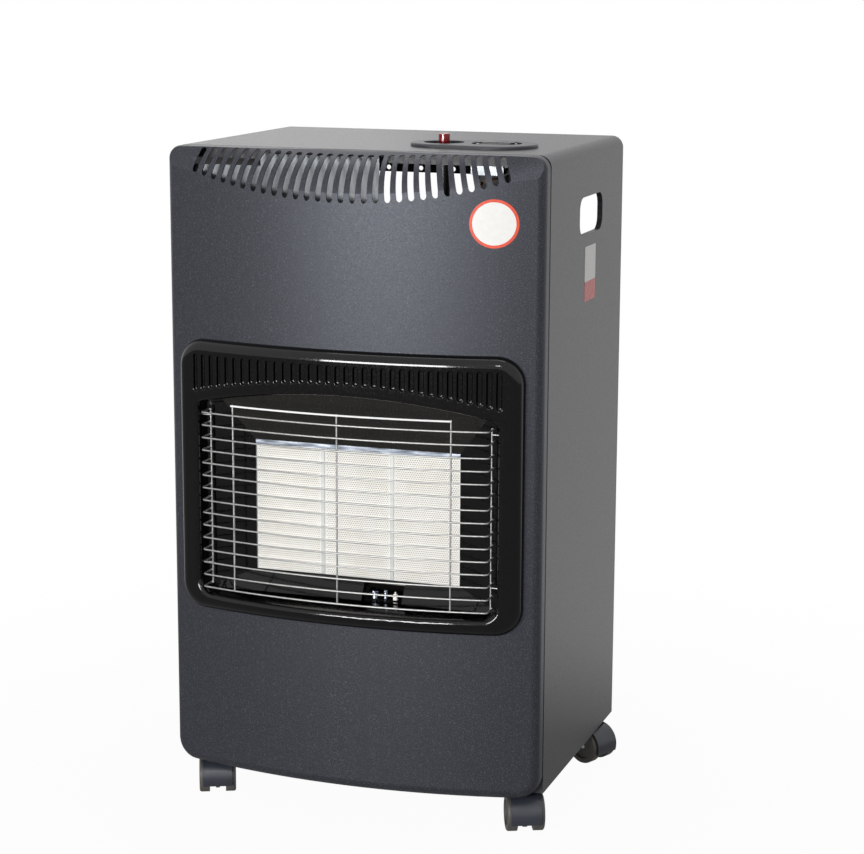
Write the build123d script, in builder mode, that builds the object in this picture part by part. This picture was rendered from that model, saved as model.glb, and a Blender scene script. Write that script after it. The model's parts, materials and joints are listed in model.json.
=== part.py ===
from build123d import *
import math
import os

# Portable gas cabinet heater on four castors: a folded sheet-steel cabinet with
# a bowed, louvred front, an enamelled burner surround behind a wire guard, three
# ceramic plaques, and a gas valve and piezo igniter under a plate in the top.
# Millimetres. +X is the heater's left-to-right as seen from the front, the front
# faces -Y, +Z is up. The origin is on the floor under the middle of the heater.

os.makedirs("parts", exist_ok=True)


# ---------------------------------------------------------------- driving sizes

width = 420.0                 # across the side walls
wrap_height = 683.0           # side walls, bottom edge to top face
wrap_depth = 295.0            # seam with the front panel to the rear edge
floor_gap = 46.0              # floor to the cabinet's bottom edge
sheet = 1.0                   # steel sheet of the cabinet and panels
thin_sheet = 0.8              # inner shields
top_bend = 13.0               # bend between top and sides
wrap_flange = 12.0            # inward returns at the front, rear and bottom
fit_gap = 0.3                 # clearance where pieces are slid together

side_return = 20.8            # front panel's side, seam to the start of the bow
bow_rise = 31.6               # how far the middle of the bow stands in front
panel_drop = 1.2              # the panel ends this far below the side walls
panel_roll = 11.0             # rounding all round the panel's front
panel_top_corner = 14.0
panel_bottom_corner = 24.0
panel_return = 14.0           # width of the panel's bottom return

crown_radius = 54.0           # rolled-back crown of the panel, in the middle
crown_lead = 10.0             # degrees from upright where the roll starts
louvre_count = 29
louvre_width = 6.5
louvre_angle = 1.524          # degrees between neighbouring louvres
louvre_near = 421.0           # fan centre to the line of the louvres' tops
louvre_far = 478.0            # fan centre to the arc of the louvres' feet
louvre_top_back = 19.5        # louvre tops, in front of the seam
louvre_top_drop = 3.5         # louvre tops, below the cabinet's top

bezel_width = 386.0
bezel_low = 181.5             # heights here are above the cabinet's bottom edge
bezel_high = 479.0
bezel_corner = 29.0
bezel_proud = 12.0            # front of the surround, in front of the panel
bezel_roll = 11.0
bezel_lap = 6.0               # the surround overlaps its hole in the panel
bezel_sheet = 1.2
window_half = 171.0
window_low = 198.0
window_side_high = 411.0      # foot of the window's arch
window_crown = 432.0          # top of the window's arch
window_corner = 18.0
window_back_corner = 14.0
window_taper = 4.0            # the reveal narrows by this on each side
window_lip = 5.0
reveal_back = 22.0            # the reveal ends this far in front of the seam
flute_count = 35
flute_pitch = 10.0
flute_width = 5.6
flute_drop = 15.0             # flute tops, below the surround's upper edge
flute_deep = 3.6
flute_edge = 0.8              # rounding of each flute's rim
flute_floor = 1.8             # rounding at the foot of its walls
flute_arch_gap = 12.0         # flutes end this far above the window's arch

wire = 2.0                    # guard wire diameter
guard_stand = 16.0            # guard wires, in front of the panel's bow
guard_half = 161.0
guard_low = 209.6
guard_pitch = 13.74
guard_rows = 15
guard_top_row = 412.5
guard_top_half = 123.5
guard_post_x = 122.3
guard_side_back = 31.0        # side posts, in front of the seam
guard_bend = 3.5
guard_stub_z = (232.0, 396.0) # stubs that fix the guard in the window's sides
guard_stub = 12.0
stub_wire = 1.7
stub_gap = 0.3

plaque_width = 78.6
plaque_height = 148.0
plaque_thick = 13.0
plaque_pitch = 79.2
plaque_middle = 293.5         # height of the plaques' middle
plaque_front = 5.0            # plaque faces, in front of the seam
frame_border = 6.0
frame_cover = 1.8             # the frame laps over the plaques' edges
burner_back = 44.0            # rear of the burner box, behind the seam

ledge = 4.0                   # the burner box holds the plaques by this much
retainer_low = 5.2            # bright strip: its foot, below the plaques' upper edge
retainer_high = 7.0
venturi_y = 26.0              # venturi tubes and manifold, from the seam
venturi_r = 9.0
venturi_low = 126.0
bell_r = 13.0                 # mouth of each venturi tube
bell_high = 10.0
manifold_z = 110.0
manifold_r = 7.0
manifold_left = -90.0
manifold_right = 100.0
boss_r = 5.5
boss_high = 10.0              # top of the injector bosses, above the manifold's axis
injector_r = 6.0
injector_hex = 6.0
nipple_r = 3.0
nipple_high = 5.0

flare_lap = (1.8, 3.8)        # the shields lap over the plaques: sides, foot
flare_high_gap = 0.2          # the hood starts this far above the plaques
flare_half = 168.0            # mouth of the shields round the burner
flare_low = 201.0
flare_high = 432.0
flare_front = 21.7            # mouth of the shields, in front of the seam
notch = (10.0, 56.0)          # gap in the lower shield for the pilot, along X
notch_back = 9.0

bulkhead_high = 600.0
bulkhead_flange = 15.0
deck_sheet = 1.2
deck_lip = 22.0
ring_r = 105.0                # ridge that the gas cylinder's foot stands in
ring_wall = 3.0
ring_high = 2.5
bay_y = 167.0                 # middle of the gas cylinder's bay, from the seam
air_slot = (34.0, 6.0)
air_slot_pitch = (42.0, 14.0)

baffle_front = 16.0           # plate behind the louvres, in front of the seam
baffle_left = -190.0
baffle_step = -104.0
baffle_right = 29.0
baffle_low = 664.0            # its top, left of the step
baffle_high = 677.0           # its top, right of the step
baffle_shelf = 60.0           # its shelf, front to back

plate_left = (66.8, 83.0)     # centre of the igniter's dish, from the seam
plate_right = (125.0, 85.0)   # centre of the knob's dish
plate_left_r = 36.0
plate_right_r = 44.0
plate_proud = 4.0
dish_left_r = 22.0
dish_right_r = 27.0
dish_depth = 7.5
dish_wall = 2.0
button_r = 6.0
button_high = 13.2            # top of the button, above the cabinet's top
button_travel = 5.0
run_gap = 0.06                # radial running clearance
knob_r = 22.0
knob_thick = 3.0
knob_grip = (40.0, 9.0, 1.8)
knob_lift = 0.8               # underside of the knob, above the cabinet's top
knob_travel = 4.0
spindle_r = 4.0

valve_size = (34.0, 30.0, 44.0)
valve_top = 656.0
neck_r = 8.0
neck_high = 12.0
hex_r = 12.0                  # corner radius of the large hexagon nuts
hex_thick = 4.0
bracket_half = 33.0           # valve bracket's legs, from its middle
bracket_foot = 12.0
bracket_half_width = 18.0
washer_z = 673.0              # thrust washer under the spindle's collar
washer_thick = 1.5
collar_r = 6.5
collar_thick = 2.0
spindle_low = 640.0
port_z = 622.0                # the valve's inlet and outlet
pipe_r = 4.0
pipe_nut_r = 8.0
pipe_nut_long = 10.0
nozzle_r = 4.5
nozzle_long = 22.0
piezo_collar_r = 10.5
piezo_collar_top = 2.0        # above the cabinet's top
piezo_thread_r = 8.6
piezo_body_r = 6.8
piezo_low = 612.0
piezo_nut_thick = 5.0
piezo_bore = 19.0             # depth of the button's bore

pilot_y = 15.0                # pilot parts, in front of the seam
pilot_x = 24.0
couple_x = 36.0
spark_x = 47.0
pilot_plate = (15.0, 51.0)    # along X
pilot_plate_z = 203.0
pilot_plate_front = 21.0
pilot_plate_back = 20.0       # behind the seam
pilot_r = 4.0
couple_r = 2.2
spark_r = 2.5
lead_back = 6.0               # the leads go up this far behind the seam
pilot_lead = (138.0, 168.0)   # where the pilot's pipe turns up, along X and in height
couple_lead = (132.5, 176.0)
spark_lead = (127.5, 184.0)
pipe_side = 152.0             # the main pipe comes down here, along X

cover_high = 520.0
cover_side_gap = 6.0
cover_low = 4.0
cover_tab = (60.0, 12.0)      # locating tabs: height, reach
cover_tab_z = (90.0, 430.0)
cover_slot = (110.0, 7.0)
cover_slot_pitch = (150.0, 18.0)
cover_slot_rows = 6
cover_slot_z = 150.0
cover_grip = (100.0, 26.0)
cover_grip_z = 470.0
rail_drop = 49.0              # rear rail's bottom edge, below the top
rail_hole_r = 2.7
rail_hole_pitch = 40.0
rail_hole_middle = -12.3       # middle of the row, across the rail
rail_hole_rise = 5.0          # holes, above the rail's bottom edge
rail_hole_count = 8
screw_r = 1.9
screw_head_r = 3.8
screw_head = 1.8
screw_long = 6.0

grip_length = 94.0            # hand hole
grip_height = 41.0
grip_corner = 15.0
grip_y = 160.0                # middle of the hand hole, from the seam
grip_z = 608.0
grip_lip = 6.0

castor_front_x = 181.0
castor_rear_x = 184.0
castor_front_y = 22.0
castor_rear_gap = 38.0        # rear castors' stems, in front of the rear edge
wheel_r = 20.0
wheel_inner = 9.0             # inner face of each wheel, from the middle
wheel_outer = 20.5
hood_half = 16.5
castor_trail = 16.0
axle_r = 2.5
stem_r = 4.0
stem_low = 25.0               # foot of the stem, above the floor
stem_flange_r = 9.0
stem_flange = 2.0
stem_above = 7.0              # the stem's thread, above the tray
front_yaw = 24.0              # degrees, the front castors stand turned to the right
rear_yaw = 66.2               # degrees, the rear castors stand turned outwards
hub_r = 7.5
hub_low = 14.0
hub_high = 43.5
web_half = 2.2
web_r = 16.0
fender_r = 21.0
fender_thick = 1.8
fender_from = 200.0           # degrees about the axle, from the stem's side
fender_to = 40.0
dish_r = 14.0                 # recess in each wheel's outer face
wheel_dish = 2.5

# ------------------------------------------------------------- derived places

front_reach = side_return + bow_rise + guard_stand + wire / 2
seam = (front_reach - wrap_depth - screw_head) / 2  # Y of the seam
base = floor_gap                                   # Z of the cabinet's bottom edge
top = base + wrap_height
half = width / 2
deck = base + sheet                                # underside of the floor tray
panel_low = base - panel_drop


def bow_radius():
    return (half**2 + bow_rise**2) / (2 * bow_rise)


def bow_y(x, ahead=0.0):
    """Y of the panel's bowed face at x, or of a surface this far ahead of it."""
    middle = seam - side_return - bow_rise + bow_radius()
    return middle - math.sqrt((bow_radius() + ahead) ** 2 - x**2)


def arch_z(x, rise=0.0):
    """Height of the window's arch at x above the cabinet's bottom edge."""
    sag = window_crown - window_side_high
    radius = (window_half**2 + sag**2) / (2 * sag)
    return window_crown - radius + math.sqrt((radius + rise) ** 2 - x**2)


def write(part, name):
    part.label = name
    export_step(part, "parts/" + name + ".step")


def at(x, y, z):
    """A place given from the seam and from the cabinet's bottom edge."""
    return (x, seam + y, base + z)


def behind(y):
    """Upright plane across the heater, y behind the seam, facing forward."""
    return Plane.XZ.offset(-seam - y)


def above(z):
    """Level plane, z above the cabinet's bottom edge."""
    return Plane.XY.offset(base + z)


def pipe(points, bend, radius):
    """A round pipe or lead through the given places, bent at each corner."""
    with BuildPart() as run:
        with BuildLine():
            path = FilletPolyline(*[at(*point) for point in points], radius=bend)
        with BuildSketch(Plane(origin=path @ 0, z_dir=path % 0)):
            Circle(radius)
        sweep(path=path)
    return run.part


def draw_rail_screws(radius):
    """Two screws near each end of the rear rail, in the wrap's rear return."""
    screw_x = half - sheet - wrap_flange / 2
    screw_z = base + wrap_height - rail_drop
    for side in (-1, 1):
        with Locations((side * screw_x, screw_z + wrap_flange / 2)):
            Circle(radius)
        with Locations((side * screw_x, screw_z + rail_drop - 2 * wrap_flange)):
            Circle(radius)


# ------------------------------------------------------------- the cabinet wrap

def draw_wrap_outline(inset):
    """Top and sides in one: a tall outline with its upper corners bent."""
    with Locations((0, base + wrap_height / 2)):
        Rectangle(width - 2 * inset, wrap_height - 2 * inset)
    upper = vertices().group_by(Axis.Y)[-1]
    fillet(upper, max(top_bend - inset, sheet))


with BuildPart() as cabinet_wrap:
    with BuildSketch(Plane.XZ.offset(-seam)):
        draw_wrap_outline(0)
    extrude(amount=-wrap_depth)
    with BuildSketch(Plane.XZ.offset(-seam - sheet)):
        draw_wrap_outline(sheet)
    extrude(amount=-(wrap_depth - 2 * sheet), mode=Mode.SUBTRACT)
    with BuildSketch(Plane.XZ.offset(-seam)):
        draw_wrap_outline(sheet + wrap_flange)
    extrude(amount=-wrap_depth, mode=Mode.SUBTRACT)
    # the bottom is open inside a return all round
    with BuildSketch(Plane.XY.offset(base)):
        with Locations((0, seam + wrap_depth / 2)):
            Rectangle(width - 2 * (sheet + wrap_flange), wrap_depth - 2 * wrap_flange)
    extrude(amount=2 * sheet, mode=Mode.SUBTRACT)
    # hand holes through both sides, each with a drawn lip turned inwards
    for side in (-1, 1):
        with BuildSketch(Plane.YZ.offset(side * (half - grip_lip))):
            with Locations((seam + grip_y, base + grip_z)):
                RectangleRounded(grip_length + 2 * sheet, grip_height + 2 * sheet, grip_corner)
        extrude(amount=side * (grip_lip - sheet / 2))
        with BuildSketch(Plane.YZ.offset(side * (half - 2 * grip_lip))):
            with Locations((seam + grip_y, base + grip_z)):
                RectangleRounded(grip_length, grip_height, grip_corner - sheet)
        extrude(amount=side * 3 * grip_lip, mode=Mode.SUBTRACT)
    # holes in the top for the two cups of the control plate
    with BuildSketch(Plane.XY.offset(top)):
        with Locations((plate_left[0], seam + plate_left[1])):
            Circle(dish_left_r + dish_wall + fit_gap)
        with Locations((plate_right[0], seam + plate_right[1])):
            Circle(dish_right_r + dish_wall + fit_gap)
    extrude(amount=-2 * sheet, mode=Mode.SUBTRACT)
    with BuildSketch(behind(wrap_depth)):
        draw_rail_screws(screw_r + fit_gap)
    extrude(amount=2 * sheet, mode=Mode.SUBTRACT)
write(cabinet_wrap.part, "cabinet_wrap")


# ------------------------------------------------------------- the front panel

fan_tilt = math.sqrt(0.5)     # the louvre fan lies at 45 degrees
fan_centre = (
    0,
    seam - louvre_top_back + louvre_near * fan_tilt,
    top - louvre_top_drop + louvre_near * fan_tilt,
)
fan_plane = Plane(origin=fan_centre, x_dir=(1, 0, 0), z_dir=(0, -fan_tilt, fan_tilt))


def panel_form(inset, back):
    """The panel as a solid pillow, taken in all round by inset."""
    side = half - inset
    shoulder = seam - side_return + inset
    apex = seam - side_return - bow_rise + inset
    wide = half + panel_roll
    with BuildPart() as form:
        with BuildSketch(Plane.XY.offset(panel_low)):
            with BuildLine():
                ThreePointArc((-side, shoulder), (0, apex), (side, shoulder))
                Polyline(
                    (side, shoulder),
                    (wide, shoulder),
                    (wide, seam + back),
                    (-wide, seam + back),
                    (-wide, shoulder),
                    (-side, shoulder),
                )
            make_face()
        extrude(amount=top - panel_low + sheet)
        with BuildSketch(Plane.XZ.offset(-seam - back)) as face:
            with Locations((0, (top + panel_low) / 2)):
                Rectangle(2 * side, top - panel_low - 2 * inset)
            fillet(face.vertices().group_by(Axis.Y)[-1], panel_top_corner - inset)
            fillet(face.vertices().group_by(Axis.Y)[0], panel_bottom_corner - inset)
        extrude(amount=front_reach + back, mode=Mode.INTERSECT)
        front = form.faces().sort_by(Axis.Y)[0]
        fillet(front.edges(), panel_roll - inset)
        # the crown rolls back to the seam, turned about the louvres' fan axis
        with BuildSketch(Plane.YZ):
            with BuildLine():
                roll = CenterArc(
                    (seam, top - crown_radius),
                    crown_radius - inset,
                    180 - crown_lead,
                    crown_lead - 90,
                )
                lead = PolarLine(roll @ 0, crown_radius, 270 - crown_lead)
                Polyline(
                    lead @ 1,
                    (seam - 3 * crown_radius, (lead @ 1).Y),
                    (seam - 3 * crown_radius, top + crown_radius),
                    (seam + crown_radius, top + crown_radius),
                    (seam + crown_radius, (roll @ 1).Y),
                    roll @ 1,
                )
            make_face()
        revolve(
            axis=Axis(fan_centre, (0, -fan_tilt, fan_tilt)),
            revolution_arc=360,
            mode=Mode.SUBTRACT,
        )
    return form.part


def draw_bezel_outline(inset):
    """The burner surround's outline, seen from the front."""
    with Locations((0, base + (bezel_low + bezel_high) / 2)):
        RectangleRounded(
            bezel_width - 2 * inset,
            bezel_high - bezel_low - 2 * inset,
            bezel_corner - inset,
        )


panel_solid = panel_form(0, 0)
panel_core = panel_form(sheet, sheet)

with BuildPart() as front_panel:
    add(panel_solid)
    add(panel_core, mode=Mode.SUBTRACT)
    # louvres: slots fanned about one centre, their feet on an arc
    with BuildSketch(fan_plane):
        for number in range(louvre_count):
            lean = math.radians((number - (louvre_count - 1) / 2) * louvre_angle)
            near = louvre_near / math.cos(lean)
            middle = (near + louvre_far) / 2
            with Locations((middle * math.sin(lean), -middle * math.cos(lean))):
                SlotOverall(louvre_far - near, louvre_width, rotation=math.degrees(lean) + 90)
    extrude(amount=crown_radius, both=True, mode=Mode.SUBTRACT)
    with BuildSketch(Plane.XZ.offset(-seam)):
        draw_bezel_outline(bezel_lap)
    extrude(amount=front_reach, mode=Mode.SUBTRACT)
    # air comes in through the open bottom, inside a return
    with BuildSketch(Plane.XY.offset(panel_low)):
        with BuildLine():
            inner = half - panel_return - panel_roll
            corner = (inner, bow_y(inner) + panel_return)
            ThreePointArc((-inner, corner[1]), (0, bow_y(0) + panel_return), corner)
            Polyline(corner, (inner, seam), (-inner, seam), (-inner, corner[1]))
        make_face()
    extrude(amount=2 * sheet, mode=Mode.SUBTRACT)
write(front_panel.part, "front_panel")


# ------------------------------------------- the enamelled surround of the burner

def draw_window(grow, corner):
    """The arched window's outline, seen from the front and grown by grow."""
    low = base + window_low - grow
    side = window_half + grow
    spring = base + window_side_high
    crown = base + window_crown + grow
    with BuildLine() as path:
        ThreePointArc((-side, spring), (0, crown), (side, spring))
        Polyline((side, spring), (side, low), (-side, low), (-side, spring))
    make_face(path.edges())
    fillet(vertices().group_by(Axis.Y)[0], corner)
    fillet(vertices().group_by(Axis.Y)[-1], corner / 2)


def is_window_edge(edge):
    """True for an edge of the window's mouth on the surround's bowed front."""
    middle = edge.center()
    inside = abs(middle.X) < window_half + window_lip
    low = middle.Z > base + bezel_low + bezel_roll
    high = middle.Z < base + bezel_high - bezel_roll - window_lip
    near = middle.Y < bow_y(middle.X) - window_lip
    return inside and low and high and near


def bezel_form(inset, back):
    """The surround as a solid ring: bowed front, rolled rim, tapered window."""
    front = bezel_proud - inset
    reach = half
    with BuildPart() as form:
        with BuildSketch(Plane.XY.offset(base + bezel_low - bezel_roll)):
            with BuildLine():
                ThreePointArc(
                    (-reach, bow_y(-reach, front)),
                    (0, bow_y(0, front)),
                    (reach, bow_y(reach, front)),
                )
                Polyline(
                    (reach, bow_y(reach, front)),
                    (reach, seam - reveal_back + back),
                    (-reach, seam - reveal_back + back),
                    (-reach, bow_y(-reach, front)),
                )
            make_face()
        extrude(amount=bezel_high - bezel_low + 2 * bezel_roll)
        with BuildSketch(Plane.XZ.offset(-seam)):
            draw_bezel_outline(inset)
        extrude(amount=2 * front_reach, both=True, mode=Mode.INTERSECT)
        fillet(form.faces().sort_by(Axis.Y)[0].edges(), bezel_roll - inset)
        # the window narrows to the back, and its front edge is rolled
        with BuildSketch(Plane.XZ.offset(front_reach - seam)):
            draw_window(inset, window_corner)
        with BuildSketch(Plane.XZ.offset(reveal_back - 2 * sheet - seam)):
            draw_window(inset - window_taper, window_back_corner)
        loft(mode=Mode.SUBTRACT)
        fillet([e for e in edges() if is_window_edge(e)], window_lip - inset / 2)
    return form.part


def is_flute_edge(edge, deep):
    """True for an edge of a flute that lies this deep under the bowed face."""
    middle = edge.center()
    on_level = abs(middle.Y - bow_y(middle.X, bezel_proud - deep)) < flute_edge / 4
    above_arch = middle.Z > base + arch_z(middle.X, window_lip + 2 * bezel_sheet)
    below_rim = middle.Z < base + bezel_high - bezel_roll - bezel_sheet
    return on_level and above_arch and below_rim and abs(middle.X) < window_half + flute_pitch


def flute_form(grow, deep):
    """The row of flutes, grown all round and sunk this deep from the bowed face."""
    with BuildPart() as form:
        with BuildSketch(Plane.XY.offset(base + bezel_low)):
            with BuildLine():
                near = [(-half, bow_y(-half, bezel_proud)), (0, bow_y(0, bezel_proud))]
                near.append((half, bow_y(half, bezel_proud)))
                far = [(half, bow_y(half, bezel_proud - deep))]
                far.append((0, bow_y(0, bezel_proud - deep)))
                far.append((-half, bow_y(-half, bezel_proud - deep)))
                ThreePointArc(*near)
                Line(near[2], far[0])
                ThreePointArc(*far)
                Line(far[2], near[0])
            make_face()
        extrude(amount=bezel_high - bezel_low)
        with BuildSketch(Plane.XZ.offset(-seam)):
            for number in range(flute_count):
                x = (number - (flute_count - 1) / 2) * flute_pitch
                high = bezel_high - flute_drop
                foot = arch_z(x, flute_arch_gap)
                with Locations((x, base + (high + foot) / 2)):
                    SlotOverall(high - foot + 2 * grow, flute_width + 2 * grow, rotation=90)
        extrude(amount=front_reach, mode=Mode.INTERSECT)
    return form.part


bezel_solid = bezel_form(0, 0)
bezel_core = bezel_form(bezel_sheet, sheet)

with BuildPart() as panel_face_block:
    add(panel_solid)
    with BuildSketch(Plane.XZ.offset(-seam)):
        draw_bezel_outline(bezel_lap)
    extrude(amount=front_reach, mode=Mode.SUBTRACT)

with BuildPart() as bezel:
    add(bezel_solid)
    add(bezel_core, mode=Mode.SUBTRACT)
    # flutes: upright troughs whose feet follow the window's arch
    add(flute_form(bezel_sheet, flute_deep + bezel_sheet), mode=Mode.ADD)
    add(flute_form(0, flute_deep), mode=Mode.SUBTRACT)
    fillet([e for e in edges() if is_flute_edge(e, flute_deep)], flute_floor)
    fillet([e for e in edges() if is_flute_edge(e, 0)], flute_edge)
    # holes in the window's sides for the guard's stubs
    for z in guard_stub_z:
        with BuildSketch(Plane.YZ):
            with Locations((seam - guard_side_back, base + z)):
                Circle(stub_wire / 2 + stub_gap)
        extrude(amount=bezel_width / 2 - bezel_roll, both=True, mode=Mode.SUBTRACT)
    # the skirt ends where it meets the panel's face
    add(panel_face_block.part, mode=Mode.SUBTRACT)
write(bezel.part, "bezel")


# ---------------------------------------------------- the guard over the window

def guard_wire(z, reach, returned):
    """One bowed wire; a returned one turns back to the side posts."""
    end = bow_y(reach, guard_stand)
    with BuildPart() as run:
        with BuildLine(above(z)) as path:
            ThreePointArc((-reach, end), (0, bow_y(0, guard_stand)), (reach, end))
            if returned:
                for side in (-1, 1):
                    Line((side * reach, end), (side * reach, seam - guard_side_back))
                fillet(path.vertices().group_by(Axis.Y)[0], guard_bend)
        line = path.wires()[0]
        with BuildSketch(Plane(origin=line @ 0, z_dir=line % 0)):
            Circle(wire / 2)
        sweep(path=line)
    return run.part


guard_high = guard_low + (guard_rows - 1) * guard_pitch
with BuildPart() as guard_wires:
    for row in range(guard_rows):
        add(guard_wire(guard_low + row * guard_pitch, guard_half, True))
    add(guard_wire(guard_top_row, guard_top_half, False))
write(guard_wires.part, "guard_wires")

with BuildPart() as guard_posts:
    # three upright wires stand just behind the bowed ones
    with BuildSketch(above(guard_low - wire / 2)):
        for x in (-guard_post_x, 0, guard_post_x):
            with Locations((x, bow_y(x, guard_stand - wire - fit_gap / 2))):
                Circle(wire / 2)
    extrude(amount=guard_top_row - guard_low + wire)
    inner = guard_half - wire - fit_gap / 2
    with BuildSketch(above(guard_low - wire / 2)):
        for side in (-1, 1):
            with Locations((side * inner, seam - guard_side_back)):
                Circle(wire / 2)
    extrude(amount=guard_high - guard_low + wire)
    # stubs reach out through the sides of the window
    for side in (-1, 1):
        for z in guard_stub_z:
            with BuildSketch(Plane.YZ.offset(side * inner)):
                with Locations((seam - guard_side_back, base + z)):
                    Circle(stub_wire / 2)
            extrude(amount=side * guard_stub)
write(guard_posts.part, "guard_posts")


# --------------------------------------------- the burner: plaques, frame and box

box_half = 1.5 * plaque_pitch + ledge
box_high = plaque_height + 2 * frame_border
box_low = plaque_middle - box_high / 2
frame_front = -plaque_front - sheet


def draw_box(inset):
    """The burner box's outline, seen from the front."""
    with Locations((0, base + plaque_middle)):
        Rectangle(2 * (box_half - inset), box_high - 2 * inset)


def draw_plaques(inset):
    """The three plaques' outlines, each taken in all round by inset."""
    with Locations((0, base + plaque_middle)):
        with GridLocations(plaque_pitch, 0, 3, 1):
            Rectangle(plaque_width - 2 * inset, plaque_height - 2 * inset)


for number, place in enumerate(("left", "centre", "right")):
    with BuildPart() as plaque:
        with BuildSketch(behind(-plaque_front)):
            with Locations(((number - 1) * plaque_pitch, base + plaque_middle)):
                Rectangle(plaque_width, plaque_height)
        extrude(amount=-plaque_thick)
    write(plaque.part, "ceramic_plaque_" + place)

with BuildPart() as plaque_frame:
    with BuildSketch(behind(frame_front)):
        draw_box(0)
    extrude(amount=-sheet)
    with BuildSketch(behind(frame_front)):
        draw_plaques(frame_cover)
    extrude(amount=-sheet, mode=Mode.SUBTRACT)
write(plaque_frame.part, "plaque_frame")

with BuildPart() as plaque_retainer:
    with BuildSketch(behind(frame_front)):
        with Locations((0, base + plaque_middle + plaque_height / 2 - retainer_low)):
            Rectangle(3 * plaque_width, retainer_high, align=(Align.CENTER, Align.MIN))
    extrude(amount=sheet)
write(plaque_retainer.part, "plaque_retainer")

with BuildPart() as burner_box:
    with BuildSketch(behind(-plaque_front)):
        draw_box(0)
    extrude(amount=-(plaque_front + burner_back))
    with BuildSketch(behind(-plaque_front)):
        draw_box(sheet)
    extrude(amount=-(plaque_front + burner_back - sheet), mode=Mode.SUBTRACT)
    # the plaques lie between the frame and this inner ledge
    with BuildSketch(behind(plaque_thick - plaque_front)):
        draw_box(sheet / 2)
    extrude(amount=-sheet)
    with BuildSketch(behind(plaque_thick - plaque_front)):
        draw_plaques(ledge)
    extrude(amount=-sheet, mode=Mode.SUBTRACT)
    with BuildSketch(above(box_low)):
        with Locations((0, seam + venturi_y)):
            with GridLocations(plaque_pitch, 0, 3, 1):
                Circle(venturi_r + fit_gap)
    extrude(amount=sheet, mode=Mode.SUBTRACT)
write(burner_box.part, "burner_box")


# --------------------------------------------- shields between burner and window

flare_near = -plaque_front - 2 * sheet - thin_sheet
near_half = 1.5 * plaque_pitch - flare_lap[0]
near_low = plaque_middle - plaque_height / 2 + flare_lap[1]
near_high = plaque_middle + plaque_height / 2 + flare_high_gap


def shield_plane(near, far, across):
    """Plane of a shield from its near edge to its far edge, facing inwards."""
    run = Vector(*far) - Vector(*near)
    return Plane(origin=near, x_dir=across, z_dir=Vector(*across).cross(run))


def draw_flare(near_span, far_span, length):
    """A shield's outline: its near edge on the X axis, its far edge at length."""
    with BuildLine() as path:
        Polyline(
            (near_span[0], 0),
            (near_span[1], 0),
            (far_span[1], length),
            (far_span[0], length),
            close=True,
        )
    make_face(path.edges())


hood_near = at(0, flare_near, near_high)
hood_far = at(0, -flare_front, flare_high)
with BuildPart() as reflector_hood:
    with BuildSketch(shield_plane(hood_near, hood_far, (1, 0, 0))):
        length = (Vector(*hood_far) - Vector(*hood_near)).length
        draw_flare((-near_half, near_half), (-flare_half, flare_half), length)
    extrude(amount=-thin_sheet)
write(reflector_hood.part, "reflector_hood")

floor_near = at(0, flare_near, near_low)
floor_far = at(0, -flare_front, flare_low)
with BuildPart() as reflector_floor:
    with BuildSketch(shield_plane(floor_near, floor_far, (-1, 0, 0))):
        length = (Vector(*floor_far) - Vector(*floor_near)).length
        draw_flare((-near_half, near_half), (-flare_half, flare_half), length)
    extrude(amount=-thin_sheet)
    # notch for the pilot parts
    with BuildSketch(above(flare_low - boss_r)):
        with Locations((sum(notch) / 2, seam - notch_back - flare_front / 2)):
            Rectangle(notch[1] - notch[0], flare_front)
    extrude(amount=near_low - flare_low + 2 * boss_r, mode=Mode.SUBTRACT)
write(reflector_floor.part, "reflector_floor")

for side, place in ((-1, "left"), (1, "right")):
    cheek_near = at(side * near_half, flare_near, 0)
    cheek_far = at(side * flare_half, -flare_front, 0)
    with BuildPart() as cheek:
        with BuildSketch(shield_plane(cheek_near, cheek_far, (0, 0, -side))):
            length = (Vector(*cheek_far) - Vector(*cheek_near)).length
            near_span = sorted((-side * near_low, -side * near_high))
            far_span = sorted((-side * flare_low, -side * flare_high))
            draw_flare(near_span, far_span, length)
        extrude(amount=-thin_sheet)
    write(cheek.part, "reflector_cheek_" + place)


# ----------------------------------------------------- gas feed under the burner

with BuildPart() as venturi_tubes:
    with Locations(at(0, venturi_y, venturi_low)):
        with GridLocations(plaque_pitch, 0, 3, 1):
            Cone(
                bell_r,
                venturi_r,
                bell_high,
                align=(Align.CENTER, Align.CENTER, Align.MIN),
            )
    with BuildSketch(above(venturi_low + bell_high)):
        with Locations((0, seam + venturi_y)):
            with GridLocations(plaque_pitch, 0, 3, 1):
                Circle(venturi_r)
    extrude(amount=box_low + 2 * sheet - venturi_low - bell_high)
    with BuildSketch(above(box_low - sheet)):
        with Locations((0, seam + venturi_y)):
            with GridLocations(plaque_pitch, 0, 3, 1):
                Circle(bell_r)
    extrude(amount=sheet)
    with Locations(at(0, venturi_y, venturi_low)):
        with GridLocations(plaque_pitch, 0, 3, 1):
            Cone(
                bell_r - sheet,
                venturi_r - sheet,
                bell_high,
                align=(Align.CENTER, Align.CENTER, Align.MIN),
                mode=Mode.SUBTRACT,
            )
            Cylinder(
                venturi_r - sheet,
                box_high,
                align=(Align.CENTER, Align.CENTER, Align.MIN),
                mode=Mode.SUBTRACT,
            )
write(venturi_tubes.part, "venturi_tubes")

with BuildPart() as gas_manifold:
    with BuildSketch(Plane.YZ.offset(manifold_left)):
        with Locations((seam + venturi_y, base + manifold_z)):
            Circle(manifold_r)
    extrude(amount=manifold_right - manifold_left)
    with BuildSketch(above(manifold_z)):
        with Locations((0, seam + venturi_y)):
            with GridLocations(plaque_pitch, 0, 3, 1):
                Circle(boss_r)
    extrude(amount=boss_high)
write(gas_manifold.part, "gas_manifold")

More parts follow.
